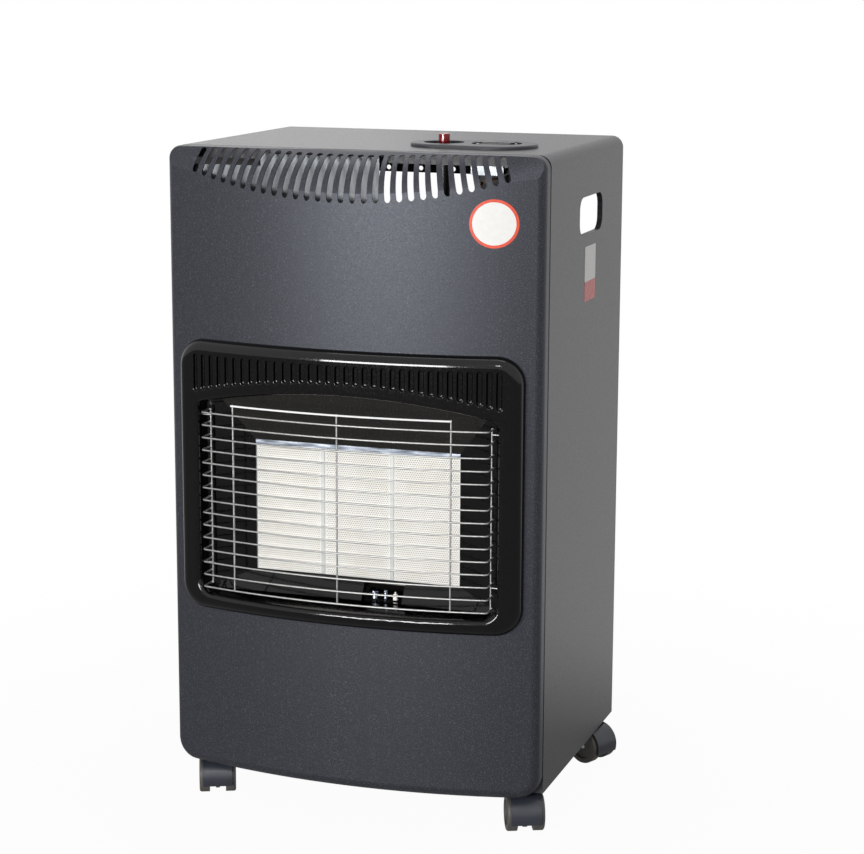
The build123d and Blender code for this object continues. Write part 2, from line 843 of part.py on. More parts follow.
with BuildPart() as injectors:
    with BuildSketch(above(manifold_z + boss_high)):
        with Locations((0, seam + venturi_y)):
            with GridLocations(plaque_pitch, 0, 3, 1):
                RegularPolygon(injector_r, 6)
    extrude(amount=injector_hex)
    with BuildSketch(above(manifold_z + boss_high + injector_hex)):
        with Locations((0, seam + venturi_y)):
            with GridLocations(plaque_pitch, 0, 3, 1):
                Circle(nipple_r)
    extrude(amount=nipple_high)
write(injectors.part, "injectors")

with BuildPart() as manifold_brackets:
    with BuildSketch(behind(venturi_y)):
        with Locations((0, base + manifold_z)):
            with GridLocations(plaque_pitch, 0, 2, 1):
                Rectangle(bracket_foot, 2 * bracket_foot)
    extrude(amount=-(burner_back - venturi_y))
    with BuildSketch(Plane.YZ.offset(manifold_left)):
        with Locations((seam + venturi_y, base + manifold_z)):
            Circle(manifold_r + fit_gap / 2)
    extrude(amount=manifold_right - manifold_left, mode=Mode.SUBTRACT)
write(manifold_brackets.part, "manifold_brackets")


# ------------------------------------------------------------- inside the cabinet

tray_half = half - sheet - fit_gap
tray_long = wrap_depth - 2 * (sheet + fit_gap)
tray_middle = seam + wrap_depth / 2
tray_top = sheet + deck_sheet
castor_places = [
    (-castor_front_x, seam + castor_front_y),
    (castor_front_x, seam + castor_front_y),
    (-castor_rear_x, seam + wrap_depth - castor_rear_gap),
    (castor_rear_x, seam + wrap_depth - castor_rear_gap),
]

with BuildPart() as base_plate:
    with BuildSketch(above(sheet)):
        with Locations((0, tray_middle)):
            Rectangle(2 * tray_half, tray_long)
    extrude(amount=deck_lip)
    with BuildSketch(above(tray_top)):
        with Locations((0, tray_middle)):
            Rectangle(2 * (tray_half - deck_sheet), tray_long - 2 * deck_sheet)
    extrude(amount=deck_lip, mode=Mode.SUBTRACT)
    with BuildSketch(above(tray_top)):
        with Locations((0, seam + bay_y)):
            Circle(ring_r + ring_wall)
            Circle(ring_r, mode=Mode.SUBTRACT)
    extrude(amount=ring_high)
    # air slots under the burner, and holes for the castors' stems
    with BuildSketch(above(sheet)):
        with Locations((0, seam + burner_back / 2)):
            with GridLocations(air_slot_pitch[0], air_slot_pitch[1], 7, 2):
                SlotOverall(air_slot[0], air_slot[1])
        with Locations(*castor_places):
            Circle(stem_r + fit_gap)
    extrude(amount=deck_sheet, mode=Mode.SUBTRACT)
write(base_plate.part, "base_plate")

lip_top = sheet + deck_lip + fit_gap
with BuildPart() as bulkhead:
    with BuildSketch(behind(burner_back)):
        with Locations((0, base + (lip_top + bulkhead_high) / 2)):
            Rectangle(2 * (half - sheet), bulkhead_high - lip_top)
        with Locations((0, base + (tray_top + bulkhead_high) / 2)):
            Rectangle(2 * (tray_half - deck_sheet - fit_gap), bulkhead_high - tray_top)
    extrude(amount=-thin_sheet)
    for side in (-1, 1):
        with BuildSketch(Plane.YZ.offset(side * (half - sheet))):
            with Locations((seam + burner_back, base + lip_top)):
                Rectangle(
                    bulkhead_flange,
                    bulkhead_high - lip_top,
                    align=(Align.MIN, Align.MIN),
                )
        extrude(amount=-side * thin_sheet)
write(bulkhead.part, "bulkhead")

with BuildPart() as louvre_baffle:
    with BuildSketch(behind(-baffle_front)):
        with BuildLine() as path:
            Polyline(
                (baffle_left, base + bulkhead_high),
                (baffle_right, base + bulkhead_high),
                (baffle_right, base + baffle_high),
                (baffle_step, base + baffle_high),
                (baffle_step, base + baffle_low),
                (baffle_left, base + baffle_low),
                close=True,
            )
        make_face(path.edges())
    extrude(amount=-thin_sheet)
    with BuildSketch(above(bulkhead_high)):
        with Locations((baffle_left, seam - baffle_front)):
            Rectangle(
                baffle_right - baffle_left,
                baffle_front + baffle_shelf,
                align=(Align.MIN, Align.MIN),
            )
    extrude(amount=thin_sheet)
write(louvre_baffle.part, "louvre_baffle")


def draw_rail_holes(radius):
    with Locations((rail_hole_middle, base + wrap_height - rail_drop + rail_hole_rise)):
        with GridLocations(rail_hole_pitch, 0, rail_hole_count, 1):
            Circle(radius)


rear_flange = wrap_depth - sheet
with BuildPart() as rear_top_rail:
    with BuildSketch(behind(rear_flange - sheet)):
        with BuildLine() as path:
            low = base + wrap_height - rail_drop
            high = base + wrap_height - sheet - fit_gap
            Polyline(
                (-tray_half, low),
                (tray_half, low),
                (tray_half, high),
                (-tray_half, high),
                close=True,
            )
        make_face(path.edges())
        fillet(vertices().group_by(Axis.Y)[-1], top_bend)
    extrude(amount=-sheet)
    with BuildSketch(behind(rear_flange - sheet)):
        draw_rail_holes(rail_hole_r)
        draw_rail_screws(screw_r + fit_gap)
    extrude(amount=-sheet, mode=Mode.SUBTRACT)
write(rear_top_rail.part, "rear_top_rail")

with BuildPart() as rail_screws:
    with BuildSketch(behind(wrap_depth)):
        draw_rail_screws(screw_head_r)
    extrude(amount=-screw_head)
    fillet(rail_screws.faces().sort_by(Axis.Y)[-4:].edges(), screw_head / 2)
    with BuildSketch(behind(wrap_depth)):
        draw_rail_screws(screw_r)
    extrude(amount=screw_long)
write(rail_screws.part, "rail_screws")


# ------------------------------------------------------------- the rear cover

cover_half = half - cover_side_gap
tab_x = half - sheet - wrap_flange - fit_gap
with BuildPart() as rear_cover:
    with BuildSketch(behind(wrap_depth)):
        with Locations((0, base + (cover_low + cover_high) / 2)):
            RectangleRounded(2 * cover_half, cover_high - cover_low, cover_side_gap)
        with Locations((0, base + cover_slot_z)):
            with GridLocations(cover_slot_pitch[0], cover_slot_pitch[1], 2, cover_slot_rows):
                SlotOverall(cover_slot[0], cover_slot[1], mode=Mode.SUBTRACT)
        with Locations((0, base + cover_grip_z)):
            SlotOverall(cover_grip[0], cover_grip[1], mode=Mode.SUBTRACT)
    extrude(amount=-sheet)
    # tabs that locate the cover between the wrap's rear returns
    for side in (-1, 1):
        for z in cover_tab_z:
            with BuildSketch(Plane.YZ.offset(side * tab_x)):
                with Locations((seam + wrap_depth, base + z)):
                    Rectangle(cover_tab[1], cover_tab[0], align=(Align.MAX, Align.CENTER))
            extrude(amount=-side * sheet)
write(rear_cover.part, "rear_cover")


# ------------------------------------------------------------- the control plate

def draw_cups(grow):
    """The outlines of the control plate's two round dishes, grown by grow."""
    with Locations((plate_left[0], seam + plate_left[1])):
        Circle(dish_left_r + grow)
    with Locations((plate_right[0], seam + plate_right[1])):
        Circle(dish_right_r + grow)


dish_floor = wrap_height + plate_proud - dish_depth
left_place = (plate_left[0], seam + plate_left[1])
right_place = (plate_right[0], seam + plate_right[1])

with BuildPart() as control_plate:
    with BuildSketch(above(wrap_height)):
        with Locations(left_place):
            Circle(plate_left_r)
        with Locations(right_place):
            Circle(plate_right_r)
        make_hull()
    extrude(amount=plate_proud)
    fillet(control_plate.faces().sort_by(Axis.Z)[-1].edges(), plate_proud / 2)
    with BuildSketch(above(dish_floor - dish_wall)):
        draw_cups(dish_wall)
    extrude(amount=dish_wall + dish_depth - plate_proud)
    with BuildSketch(above(dish_floor)):
        draw_cups(0)
    extrude(amount=dish_depth, mode=Mode.SUBTRACT)
    with BuildSketch(above(dish_floor - dish_wall)):
        with Locations(left_place):
            Circle(piezo_thread_r + fit_gap)
        with Locations(right_place):
            Circle(spindle_r + fit_gap)
    extrude(amount=dish_wall, mode=Mode.SUBTRACT)
write(control_plate.part, "control_plate")

piezo_top = wrap_height + piezo_collar_top
with BuildPart() as piezo_body:
    with BuildSketch(above(dish_floor)):
        with Locations(left_place):
            Circle(piezo_collar_r)
    extrude(amount=piezo_top - dish_floor)
    fillet(piezo_body.faces().sort_by(Axis.Z)[-1].edges(), piezo_collar_top / 2)
    with BuildSketch(above(piezo_low)):
        with Locations(left_place):
            Circle(piezo_body_r)
    extrude(amount=dish_floor - piezo_low)
    with BuildSketch(above(dish_floor)):
        with Locations(left_place):
            Circle(piezo_thread_r)
    extrude(amount=-(dish_wall + 2 * piezo_nut_thick))
    with BuildSketch(above(piezo_top)):
        with Locations(left_place):
            Circle(button_r + run_gap)
    extrude(amount=-piezo_bore, mode=Mode.SUBTRACT)
write(piezo_body.part, "piezo_body")

with BuildPart() as piezo_button:
    with BuildSketch(above(wrap_height + button_high)):
        with Locations(left_place):
            Circle(button_r)
    extrude(amount=-(button_high - piezo_collar_top + piezo_bore - 2 * button_travel))
    fillet(piezo_button.faces().sort_by(Axis.Z)[-1].edges(), button_r / 8)
write(piezo_button.part, "piezo_button")

with BuildPart() as piezo_nut:
    with BuildSketch(above(dish_floor - dish_wall)):
        with Locations(left_place):
            RegularPolygon(hex_r, 6)
            Circle(piezo_thread_r + fit_gap, mode=Mode.SUBTRACT)
    extrude(amount=-piezo_nut_thick)
write(piezo_nut.part, "piezo_nut")


# ------------------------------------------------------------- the gas valve

bracket_top = wrap_height - sheet
valve_low = valve_top - valve_size[2]
with BuildPart() as gas_valve:
    with BuildSketch(above(valve_low)):
        with Locations(right_place):
            RectangleRounded(valve_size[0], valve_size[1], stem_r)
    extrude(amount=valve_size[2])
    with BuildSketch(above(valve_top)):
        with Locations(right_place):
            Circle(neck_r)
    extrude(amount=neck_high)
    with BuildSketch(above(valve_top + neck_high)):
        with Locations(right_place):
            Circle(spindle_r + run_gap)
    extrude(amount=-(valve_top + neck_high - spindle_low + 2 * knob_travel), mode=Mode.SUBTRACT)
write(gas_valve.part, "gas_valve")

with BuildPart() as valve_bracket:
    with BuildSketch(Plane.YZ.offset(plate_right[0] - bracket_half_width)):
        with BuildLine() as path:
            legs = bracket_half
            foot = bracket_half + bracket_foot
            under = bracket_top - deck_sheet
            across = [(-foot, bracket_top), (-legs, bracket_top)]
            across += [(-legs, valve_top + deck_sheet), (legs, valve_top + deck_sheet)]
            across += [(legs, bracket_top), (foot, bracket_top), (foot, under)]
            across += [(legs + deck_sheet, under), (legs + deck_sheet, valve_top)]
            across += [(-legs - deck_sheet, valve_top), (-legs - deck_sheet, under)]
            across += [(-foot, under)]
            Polyline(*[(right_place[1] + y, base + z) for y, z in across], close=True)
        make_face(path.edges())
    extrude(amount=2 * bracket_half_width)
    with BuildSketch(above(valve_top)):
        with Locations(right_place):
            Circle(neck_r + fit_gap)
    extrude(amount=deck_sheet, mode=Mode.SUBTRACT)
write(valve_bracket.part, "valve_bracket")

with BuildPart() as valve_nut:
    with BuildSketch(above(valve_top + deck_sheet)):
        with Locations(right_place):
            RegularPolygon(hex_r, 6)
            Circle(neck_r + fit_gap, mode=Mode.SUBTRACT)
    extrude(amount=hex_thick)
write(valve_nut.part, "valve_nut")

with BuildPart() as thrust_washer:
    with BuildSketch(above(washer_z)):
        with Locations(right_place):
            Circle(neck_r)
            Circle(spindle_r + run_gap, mode=Mode.SUBTRACT)
    extrude(amount=washer_thick)
write(thrust_washer.part, "thrust_washer")

knob_low = wrap_height + knob_lift
with BuildPart() as valve_spindle:
    with BuildSketch(above(spindle_low)):
        with Locations(right_place):
            Circle(spindle_r)
    extrude(amount=knob_low + knob_thick / 2 - spindle_low)
    with BuildSketch(above(washer_z + washer_thick)):
        with Locations(right_place):
            Circle(collar_r)
    extrude(amount=collar_thick)
write(valve_spindle.part, "valve_spindle")

with BuildPart() as control_knob:
    with BuildSketch(above(knob_low)):
        with Locations(right_place):
            Circle(knob_r)
    extrude(amount=knob_thick)
    fillet(control_knob.faces().sort_by(Axis.Z)[-1].edges(), knob_thick / 4)
    with BuildSketch(above(knob_low + knob_thick)):
        with Locations(right_place):
            SlotOverall(knob_grip[0], knob_grip[1])
    extrude(amount=knob_grip[2])
    fillet(control_knob.faces().sort_by(Axis.Z)[-1].edges(), knob_thick / 4)
    with BuildSketch(above(knob_low)):
        with Locations(right_place):
            Circle(spindle_r + run_gap)
    extrude(amount=knob_thick / 2, mode=Mode.SUBTRACT)
write(control_knob.part, "control_knob")

valve_front = plate_right[1] - valve_size[1] / 2
valve_rear = plate_right[1] + valve_size[1] / 2
with BuildPart() as hose_nozzle:
    with BuildSketch(behind(valve_rear)):
        with Locations((plate_right[0], base + port_z)):
            RegularPolygon(pipe_nut_r, 6)
    extrude(amount=-pipe_nut_long)
    with BuildSketch(behind(valve_rear + pipe_nut_long)):
        with Locations((plate_right[0], base + port_z)):
            Circle(nozzle_r)
    extrude(amount=-nozzle_long)
    chamfer(hose_nozzle.faces().sort_by(Axis.Y)[-1].edges(), nozzle_r / 6)
write(hose_nozzle.part, "hose_nozzle")

main_gas_pipe = pipe(
    [
        (plate_right[0], valve_front, port_z),
        (plate_right[0], venturi_y, port_z),
        (pipe_side, venturi_y, bulkhead_high + pipe_r),
        (pipe_side, venturi_y, manifold_z),
        (manifold_right, venturi_y, manifold_z),
    ],
    3 * pipe_r,
    pipe_r,
)
write(main_gas_pipe, "main_gas_pipe")

with BuildPart() as pipe_nuts:
    with BuildSketch(behind(valve_front)):
        with Locations((plate_right[0], base + port_z)):
            RegularPolygon(pipe_nut_r, 6)
            Circle(pipe_r + run_gap, mode=Mode.SUBTRACT)
    extrude(amount=pipe_nut_long)
    with BuildSketch(Plane.YZ.offset(manifold_right)):
        with Locations((seam + venturi_y, base + manifold_z)):
            RegularPolygon(pipe_nut_r, 6)
            Circle(pipe_r + run_gap, mode=Mode.SUBTRACT)
    extrude(amount=pipe_nut_long)
write(pipe_nuts.part, "pipe_nuts")


# ------------------------------------------------------------- pilot and igniter

with BuildPart() as pilot_bracket:
    with BuildSketch(above(pilot_plate_z)):
        with Locations((sum(pilot_plate) / 2, seam - pilot_plate_front)):
            Rectangle(
                pilot_plate[1] - pilot_plate[0],
                pilot_plate_front + pilot_plate_back,
                align=(Align.CENTER, Align.MIN),
            )
    extrude(amount=deck_sheet)
    with BuildSketch(above(pilot_plate_z)):
        with Locations((sum(pilot_plate) / 2, seam + pilot_plate_back)):
            Rectangle(
                pilot_plate[1] - pilot_plate[0],
                deck_sheet,
                align=(Align.CENTER, Align.MAX),
            )
    extrude(amount=box_low - pilot_plate_z)
    with BuildSketch(above(pilot_plate_z)):
        for x, radius in ((pilot_x, pilot_r), (couple_x, couple_r), (spark_x, spark_r)):
            with Locations((x, seam - pilot_y)):
                Circle(radius + run_gap)
    extrude(amount=deck_sheet, mode=Mode.SUBTRACT)
write(pilot_bracket.part, "pilot_bracket")

with BuildPart() as pilot_burner:
    with BuildSketch(above(pilot_plate_z - 2 * pilot_r)):
        with Locations((pilot_x, seam - pilot_y)):
            Circle(pilot_r)
    extrude(amount=4 * pilot_r)
    with BuildSketch(above(pilot_plate_z + pilot_r)):
        with Locations((pilot_x, seam - pilot_y)):
            Rectangle(3 * pilot_r, pilot_r)
    extrude(amount=pilot_r, mode=Mode.SUBTRACT)
write(pilot_burner.part, "pilot_burner")

with BuildPart() as thermocouple:
    with BuildSketch(above(pilot_plate_z - 4 * couple_r)):
        with Locations((couple_x, seam - pilot_y)):
            Circle(couple_r)
    extrude(amount=9 * couple_r)
    fillet(thermocouple.faces().sort_by(Axis.Z)[-1].edges(), couple_r / 2)
write(thermocouple.part, "thermocouple")

with BuildPart() as ignition_electrode:
    with BuildSketch(above(pilot_plate_z - 4 * spark_r)):
        with Locations((spark_x, seam - pilot_y)):
            Circle(spark_r)
    extrude(amount=7 * spark_r)
    with BuildSketch(above(pilot_plate_z + 3 * spark_r)):
        with Locations((spark_x, seam - pilot_y)):
            Circle(spark_r / 3)
    extrude(amount=spark_r)
write(ignition_electrode.part, "ignition_electrode")

pilot_foot = pilot_plate_z - 2 * pilot_r
pilot_gas_pipe = pipe(
    [
        (pilot_x, -pilot_y, pilot_foot),
        (pilot_x, -pilot_y, pilot_lead[1]),
        (pilot_lead[0], lead_back, pilot_lead[1]),
        (pilot_lead[0], lead_back, port_z + 2 * pipe_r),
        (pilot_lead[0], valve_front, port_z + 2 * pipe_r),
    ],
    2 * pipe_r,
    pipe_r / 2.5,
)
write(pilot_gas_pipe, "pilot_gas_pipe")

couple_foot = pilot_plate_z - 4 * couple_r
thermocouple_lead = pipe(
    [
        (couple_x, -pilot_y, couple_foot),
        (couple_x, -pilot_y, couple_lead[1]),
        (couple_lead[0], lead_back, couple_lead[1]),
        (couple_lead[0], lead_back, valve_top - pipe_r),
        (couple_lead[0], valve_front, valve_top - pipe_r),
    ],
    2 * pipe_r,
    pipe_r / 3,
)
write(thermocouple_lead, "thermocouple_lead")

spark_foot = pilot_plate_z - 4 * spark_r
ignition_lead = pipe(
    [
        (spark_x, -pilot_y, spark_foot),
        (spark_x, -pilot_y, spark_lead[1]),
        (spark_lead[0], lead_back, spark_lead[1]),
        (spark_lead[0], lead_back, bulkhead_high + 2 * pipe_r),
        (plate_left[0], plate_left[1], bulkhead_high + pipe_r),
        (plate_left[0], plate_left[1], piezo_low),
    ],
    pipe_r,
    pipe_r / 2.5,
)
write(ignition_lead, "ignition_lead")


# ------------------------------------------------------------- castors

def draw_stem(radius):
    with Locations(*castor_places):
        Circle(radius)


with BuildPart() as castor_stems:
    with BuildSketch(Plane.XY.offset(stem_low)):
        draw_stem(stem_r)
    extrude(amount=base + tray_top + stem_above - stem_low)
    with BuildSketch(Plane.XY.offset(deck)):
        draw_stem(stem_flange_r)
    extrude(amount=-stem_flange)
write(castor_stems.part, "castor_stems")

with BuildPart() as castor_nuts:
    with BuildSketch(above(tray_top)):
        with Locations(*castor_places):
            RegularPolygon(2 * stem_r, 6)
            Circle(stem_r + fit_gap / 2, mode=Mode.SUBTRACT)
    extrude(amount=hex_thick)
write(castor_nuts.part, "castor_nuts")


def polar(radius, degrees):
    """A place on the castor's side view, given about the axle."""
    angle = math.radians(degrees)
    return (radius * math.cos(angle) - castor_trail, radius * math.sin(angle) + wheel_r)


def draw_fender():
    """The hood's side view: a band round the wheels' front and top."""
    outer = fender_r + fender_thick
    middle = (fender_from + fender_to) / 2
    with BuildLine() as path:
        ThreePointArc(
            polar(fender_r, fender_from),
            polar(fender_r, middle),
            polar(fender_r, fender_to),
        )
        Line(polar(fender_r, fender_to), polar(outer, fender_to))
        ThreePointArc(
            polar(outer, fender_to),
            polar(outer, middle),
            polar(outer, fender_from),
        )
        Line(polar(outer, fender_from), polar(fender_r, fender_from))
    make_face(path.edges())


with BuildPart() as hood_form:
    with BuildSketch(Plane.YZ):
        draw_fender()
    extrude(amount=hood_half, both=True)
    with BuildSketch(Plane.YZ):
        draw_fender()
        with Locations((-castor_trail, wheel_r)):
            Circle(web_r)
        with BuildLine() as path:
            Polyline(
                (-castor_trail, wheel_r),
                (0, hub_low),
                (0, hub_high),
                polar(fender_r, 90),
                close=True,
            )
        make_face(path.edges())
    extrude(amount=web_half, both=True)
    with BuildSketch(Plane.XY.offset(hub_low)):
        Circle(hub_r)
    extrude(amount=hub_high - hub_low)
    with BuildSketch(Plane.XY.offset(hub_high)):
        Circle(stem_r + run_gap)
    extrude(amount=-(hub_high - stem_low + run_gap), mode=Mode.SUBTRACT)
    with BuildSketch(Plane.YZ):
        with Locations((-castor_trail, wheel_r)):
            Circle(axle_r + run_gap)
    extrude(amount=wheel_inner, both=True, mode=Mode.SUBTRACT)

with BuildPart() as axle_form:
    with BuildSketch(Plane.YZ):
        with Locations((-castor_trail, wheel_r)):
            Circle(axle_r)
    extrude(amount=wheel_outer - wheel_dish, both=True)

with BuildPart() as wheel_form:
    with BuildSketch(Plane.YZ.offset(wheel_inner)):
        with Locations((-castor_trail, wheel_r)):
            Circle(wheel_r)
    extrude(amount=wheel_outer - wheel_inner)
    fillet(wheel_form.faces().sort_by(Axis.X)[-1].edges(), wheel_dish)
    with BuildSketch(Plane.YZ.offset(wheel_outer)):
        with Locations((-castor_trail, wheel_r)):
            Circle(dish_r)
    extrude(amount=-wheel_dish, mode=Mode.SUBTRACT)
    with BuildSketch(Plane.YZ.offset(wheel_inner)):
        with Locations((-castor_trail, wheel_r)):
            Circle(axle_r + run_gap)
    extrude(amount=wheel_outer, mode=Mode.SUBTRACT)
    mirror(about=Plane.YZ)

castor_names = ("front_left", "front_right", "rear_left", "rear_right")
castor_yaws = (front_yaw, front_yaw, -rear_yaw, rear_yaw)
for name, place, yaw in zip(castor_names, castor_places, castor_yaws):
    stand = Pos(place[0], place[1], 0) * Rot(0, 0, yaw)
    write(stand * hood_form.part, "castor_" + name + "_hood")
    write(stand * axle_form.part, "castor_" + name + "_axle")
    write(stand * wheel_form.part, "castor_" + name + "_wheels")
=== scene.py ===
import bpy
import bmesh
import json
import math
from mathutils import Matrix, Vector


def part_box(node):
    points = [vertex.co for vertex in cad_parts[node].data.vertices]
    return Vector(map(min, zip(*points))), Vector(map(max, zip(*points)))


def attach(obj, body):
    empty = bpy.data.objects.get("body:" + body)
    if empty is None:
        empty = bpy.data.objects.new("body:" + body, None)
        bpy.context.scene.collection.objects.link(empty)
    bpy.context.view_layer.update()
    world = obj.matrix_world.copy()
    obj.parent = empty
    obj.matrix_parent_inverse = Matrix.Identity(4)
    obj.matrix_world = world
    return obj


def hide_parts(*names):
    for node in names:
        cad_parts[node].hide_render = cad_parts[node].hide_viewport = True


# Portable gas cabinet heater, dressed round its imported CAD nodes. Metres, the
# front faces -Y, +Z is up, and the origin is on the floor under the middle.
# Sizes are in millimetres, from the seam between front panel and cabinet (Y)
# and from the cabinet's bottom edge (Z), as the CAD has them.

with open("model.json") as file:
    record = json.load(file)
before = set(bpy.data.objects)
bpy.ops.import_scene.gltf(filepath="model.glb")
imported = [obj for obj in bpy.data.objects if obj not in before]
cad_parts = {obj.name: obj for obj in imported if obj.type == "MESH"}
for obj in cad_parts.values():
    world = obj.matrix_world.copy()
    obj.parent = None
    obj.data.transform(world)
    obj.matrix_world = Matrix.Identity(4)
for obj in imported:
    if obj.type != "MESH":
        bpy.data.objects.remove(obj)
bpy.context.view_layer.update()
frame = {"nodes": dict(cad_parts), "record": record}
nodes = frame["nodes"]
MM = 0.001
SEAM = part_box("cabinet_wrap")[0].y        # where the front panel meets the cabinet
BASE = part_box("cabinet_wrap")[0].z        # the cabinet's bottom edge

HALF_WIDTH = 210.0
SIDE_RETURN = 20.8                        # the panel's side, seam to the bow
BOW_RISE = 31.6                           # the middle of the bow, in front of its ends
BOW_RADIUS = (HALF_WIDTH**2 + BOW_RISE**2) / (2 * BOW_RISE)


def at(x, y, z):
    """A place in millimetres from the seam and the bottom edge, in metres."""
    return Vector((x * MM, SEAM + y * MM, BASE + z * MM))


def bow_y(x, ahead):
    """Depth at x of a surface that follows the bowed front, this far ahead."""
    middle = BOW_RADIUS - SIDE_RETURN - BOW_RISE
    return middle - math.sqrt((BOW_RADIUS + ahead) ** 2 - x**2)


# ---------------------------------------------------------------- camera

LENS = 95.66                              # focal length
SENSOR = 36.0                             # width of its picture
FARTHEST = 30.0                           # how far the camera sees, metres
CAMERA_AT = at(850.92, -2253.35, 873.09)
AZIMUTH = math.radians(18.8285)
ELEVATION = math.radians(11.3986)
ROLL = math.radians(0.2385)


def make_camera():
    """The camera, looking along azimuth and elevation and rolled a little."""
    cam = bpy.data.objects.new("camera", bpy.data.cameras.new("camera"))
    bpy.context.scene.collection.objects.link(cam)
    cam.data.lens = LENS
    cam.data.sensor_width = SENSOR
    cam.data.sensor_fit = "HORIZONTAL"
    cam.data.clip_end = FARTHEST
    ahead = Vector(
        (
            -math.sin(AZIMUTH) * math.cos(ELEVATION),
            math.cos(AZIMUTH) * math.cos(ELEVATION),
            -math.sin(ELEVATION),
        )
    )
    level = Vector((math.cos(AZIMUTH), math.sin(AZIMUTH), 0))
    upward = level.cross(ahead)
    right = level * math.cos(ROLL) + upward * math.sin(ROLL)
    up = upward * math.cos(ROLL) - level * math.sin(ROLL)
    turn = Matrix((right, up, -ahead)).transposed().to_4x4()
    cam.matrix_world = Matrix.Translation(CAMERA_AT) @ turn
    bpy.context.scene.camera = cam


make_camera()
bpy.context.scene.view_settings.view_transform = "Standard"


# ---------------------------------------------------------------- node building

NOISE, RANGE, MIX = "ShaderNodeTexNoise", "ShaderNodeMapRange", "ShaderNodeMix"
MATH, BUMP, SPLIT = "ShaderNodeMath", "ShaderNodeBump", "ShaderNodeSeparateXYZ"


def feed(tree, node, inputs):
    """Sets or links a node's inputs, by name or in their order. A node given
    as a value stands for its first output in use."""
    live = [s for s in node.inputs if s.enabled]
    pairs = inputs.items() if isinstance(inputs, dict) else enumerate(inputs)
    for key, value in pairs:
        socket = live[key] if isinstance(key, int) else next(s for s in live if s.name == key)
        if isinstance(value, bpy.types.Node):
            value = next(s for s in value.outputs if s.enabled)
        if isinstance(value, bpy.types.NodeSocket):
            tree.links.new(value, socket)
        else:
            socket.default_value = value


def put(tree, kind, inputs=(), **settings):
    """Adds one node with its settings, and feeds its inputs."""
    made = tree.nodes.new(kind)
    for name, value in settings.items():
        setattr(made, name, value)
    feed(tree, made, inputs)
    return made


def sRGB(code):
    """A hex colour as linear RGBA."""
    parts = [int(code[k : k + 2], 16) / 255 for k in (1, 3, 5)]
    lin = [c / 12.92 if c <= 0.04045 else ((c + 0.055) / 1.055) ** 2.4 for c in parts]
    return (*lin, 1.0)


def per(size_mm):
    """The scale of a pattern whose features are size_mm across."""
    return 1.0 / (size_mm * MM)


# ---------------------------------------------------------------- materials

MOST = (0.3, 0.7)                         # nearly all of a noise lies between these


def new_material(name, **sockets):
    """A material with a Principled shader whose constant sockets are set."""
    made = bpy.data.materials.new(name)
    made.use_nodes = True
    tree = made.node_tree
    shader = tree.nodes["Principled BSDF"]
    feed(tree, shader, {key.replace("_", " "): value for key, value in sockets.items()})
    place = put(tree, "ShaderNodeTexCoord").outputs["Object"]
    return made, tree, shader, place


def two_tone(tree, field, ends, dark, light, share=1.0):
    """From dark towards light as a field rises between its ends."""
    factor = put(tree, RANGE, (field, *ends, 0.0, share))
    colours = [sRGB(c) if isinstance(c, str) else c for c in (dark, light)]
    return put(tree, MIX, (factor, *colours), data_type="RGBA")


def finish(tree, shader, colour, rough=None, relief=None):
    """Links a colour; a roughness, given as a field, its ends and what they
    become; and relief, given as a height, its depth in mm and its strength."""
    feed(tree, shader, {"Base Color": colour})
    if rough:
        field, ends, low, high = rough
        feed(tree, shader, {"Roughness": put(tree, RANGE, (field, *ends, low, high))})
    if relief:
        height, depth_mm, strength = relief
        values = {"Height": height, "Distance": depth_mm * MM, "Strength": strength}
        feed(tree, shader, {"Normal": put(tree, BUMP, values)})


def powder_coat(name, ground, fleck, rough, level, tint="#ffffff", seam_shadow_mm=0.0):
    """Polyester powder, sprayed and baked: an even, slightly pebbled skin in
    which lighter flecks show close to. Real flecks are 0.2 mm; these are drawn
    0.9 mm, so that they still show from the camera. Over the last seam_shadow_mm
    before the seam a shadow is painted in: the colour goes near black and the
    gloss almost away, as the gap of the joint lies in shade."""
    made, tree, shader, place = new_material(
        name, IOR=1.5, Specular_IOR_Level=level, Specular_Tint=sRGB(tint)
    )
    flecks = put(tree, NOISE, (place, per(0.9), 1.0))
    colour = two_tone(tree, flecks, (0.54, 0.74), ground, fleck, 0.8)
    # painted shadow of the joint: near the seam the colour goes near black and the gloss almost
    # away
    if seam_shadow_mm:
        depth = put(tree, SPLIT, (place,)).outputs["Y"]
        ends = (SEAM - seam_shadow_mm * MM, SEAM - 0.7 * seam_shadow_mm * MM)
        colour = two_tone(tree, depth, ends, colour, "#060607")
        gloss = put(tree, RANGE, (depth, *ends, level, 0.02))
        feed(tree, shader, {"Specular IOR Level": gloss})
    peel = put(tree, NOISE, (place, per(1.6), 1.0))
    finish(tree, shader, colour, (peel, MOST, rough - 0.03, rough + 0.05), (peel, 0.05, 0.5))
    return made


def vitreous_enamel(name, dark, light, rough, level):
    """Glass fired on pressed steel: deep and wet-looking, with a slow ripple
    of the sheet under it and a few fine pinholes that break the reflection."""
    made, tree, shader, place = new_material(name, IOR=1.5, Specular_IOR_Level=level)
    ripple = put(tree, NOISE, (place, per(16.0), 1.0))
    specks = put(tree, NOISE, (place, per(1.2), 0.0))
    colour = two_tone(tree, specks, (0.64, 0.8), dark, light)
    finish(tree, shader, colour, (specks, (0.4, 0.8), rough, rough + 0.12), (ripple, 0.1, 0.5))
    return made


def bare_metal(name, dark, light, rough, cloud_mm, streak=1.0, bump_mm=0.01):
    """Bare or plated metal: bright, cloudy at cloud_mm, and drawn out along X
    by streak where it was rolled or drawn in that direction."""
    made, tree, shader, place = new_material(name, Metallic=1.0)
    drawn = put(tree, "ShaderNodeMapping", {"Vector": place, "Scale": (1 / streak, 1, 1)})
    cloud = put(tree, NOISE, (drawn, per(cloud_mm), 3.0))
    colour = two_tone(tree, cloud, MOST, dark, light)
    finish(tree, shader, colour, (cloud, MOST, rough - 0.05, rough + 0.08), (cloud, bump_mm, 0.4))
    return made


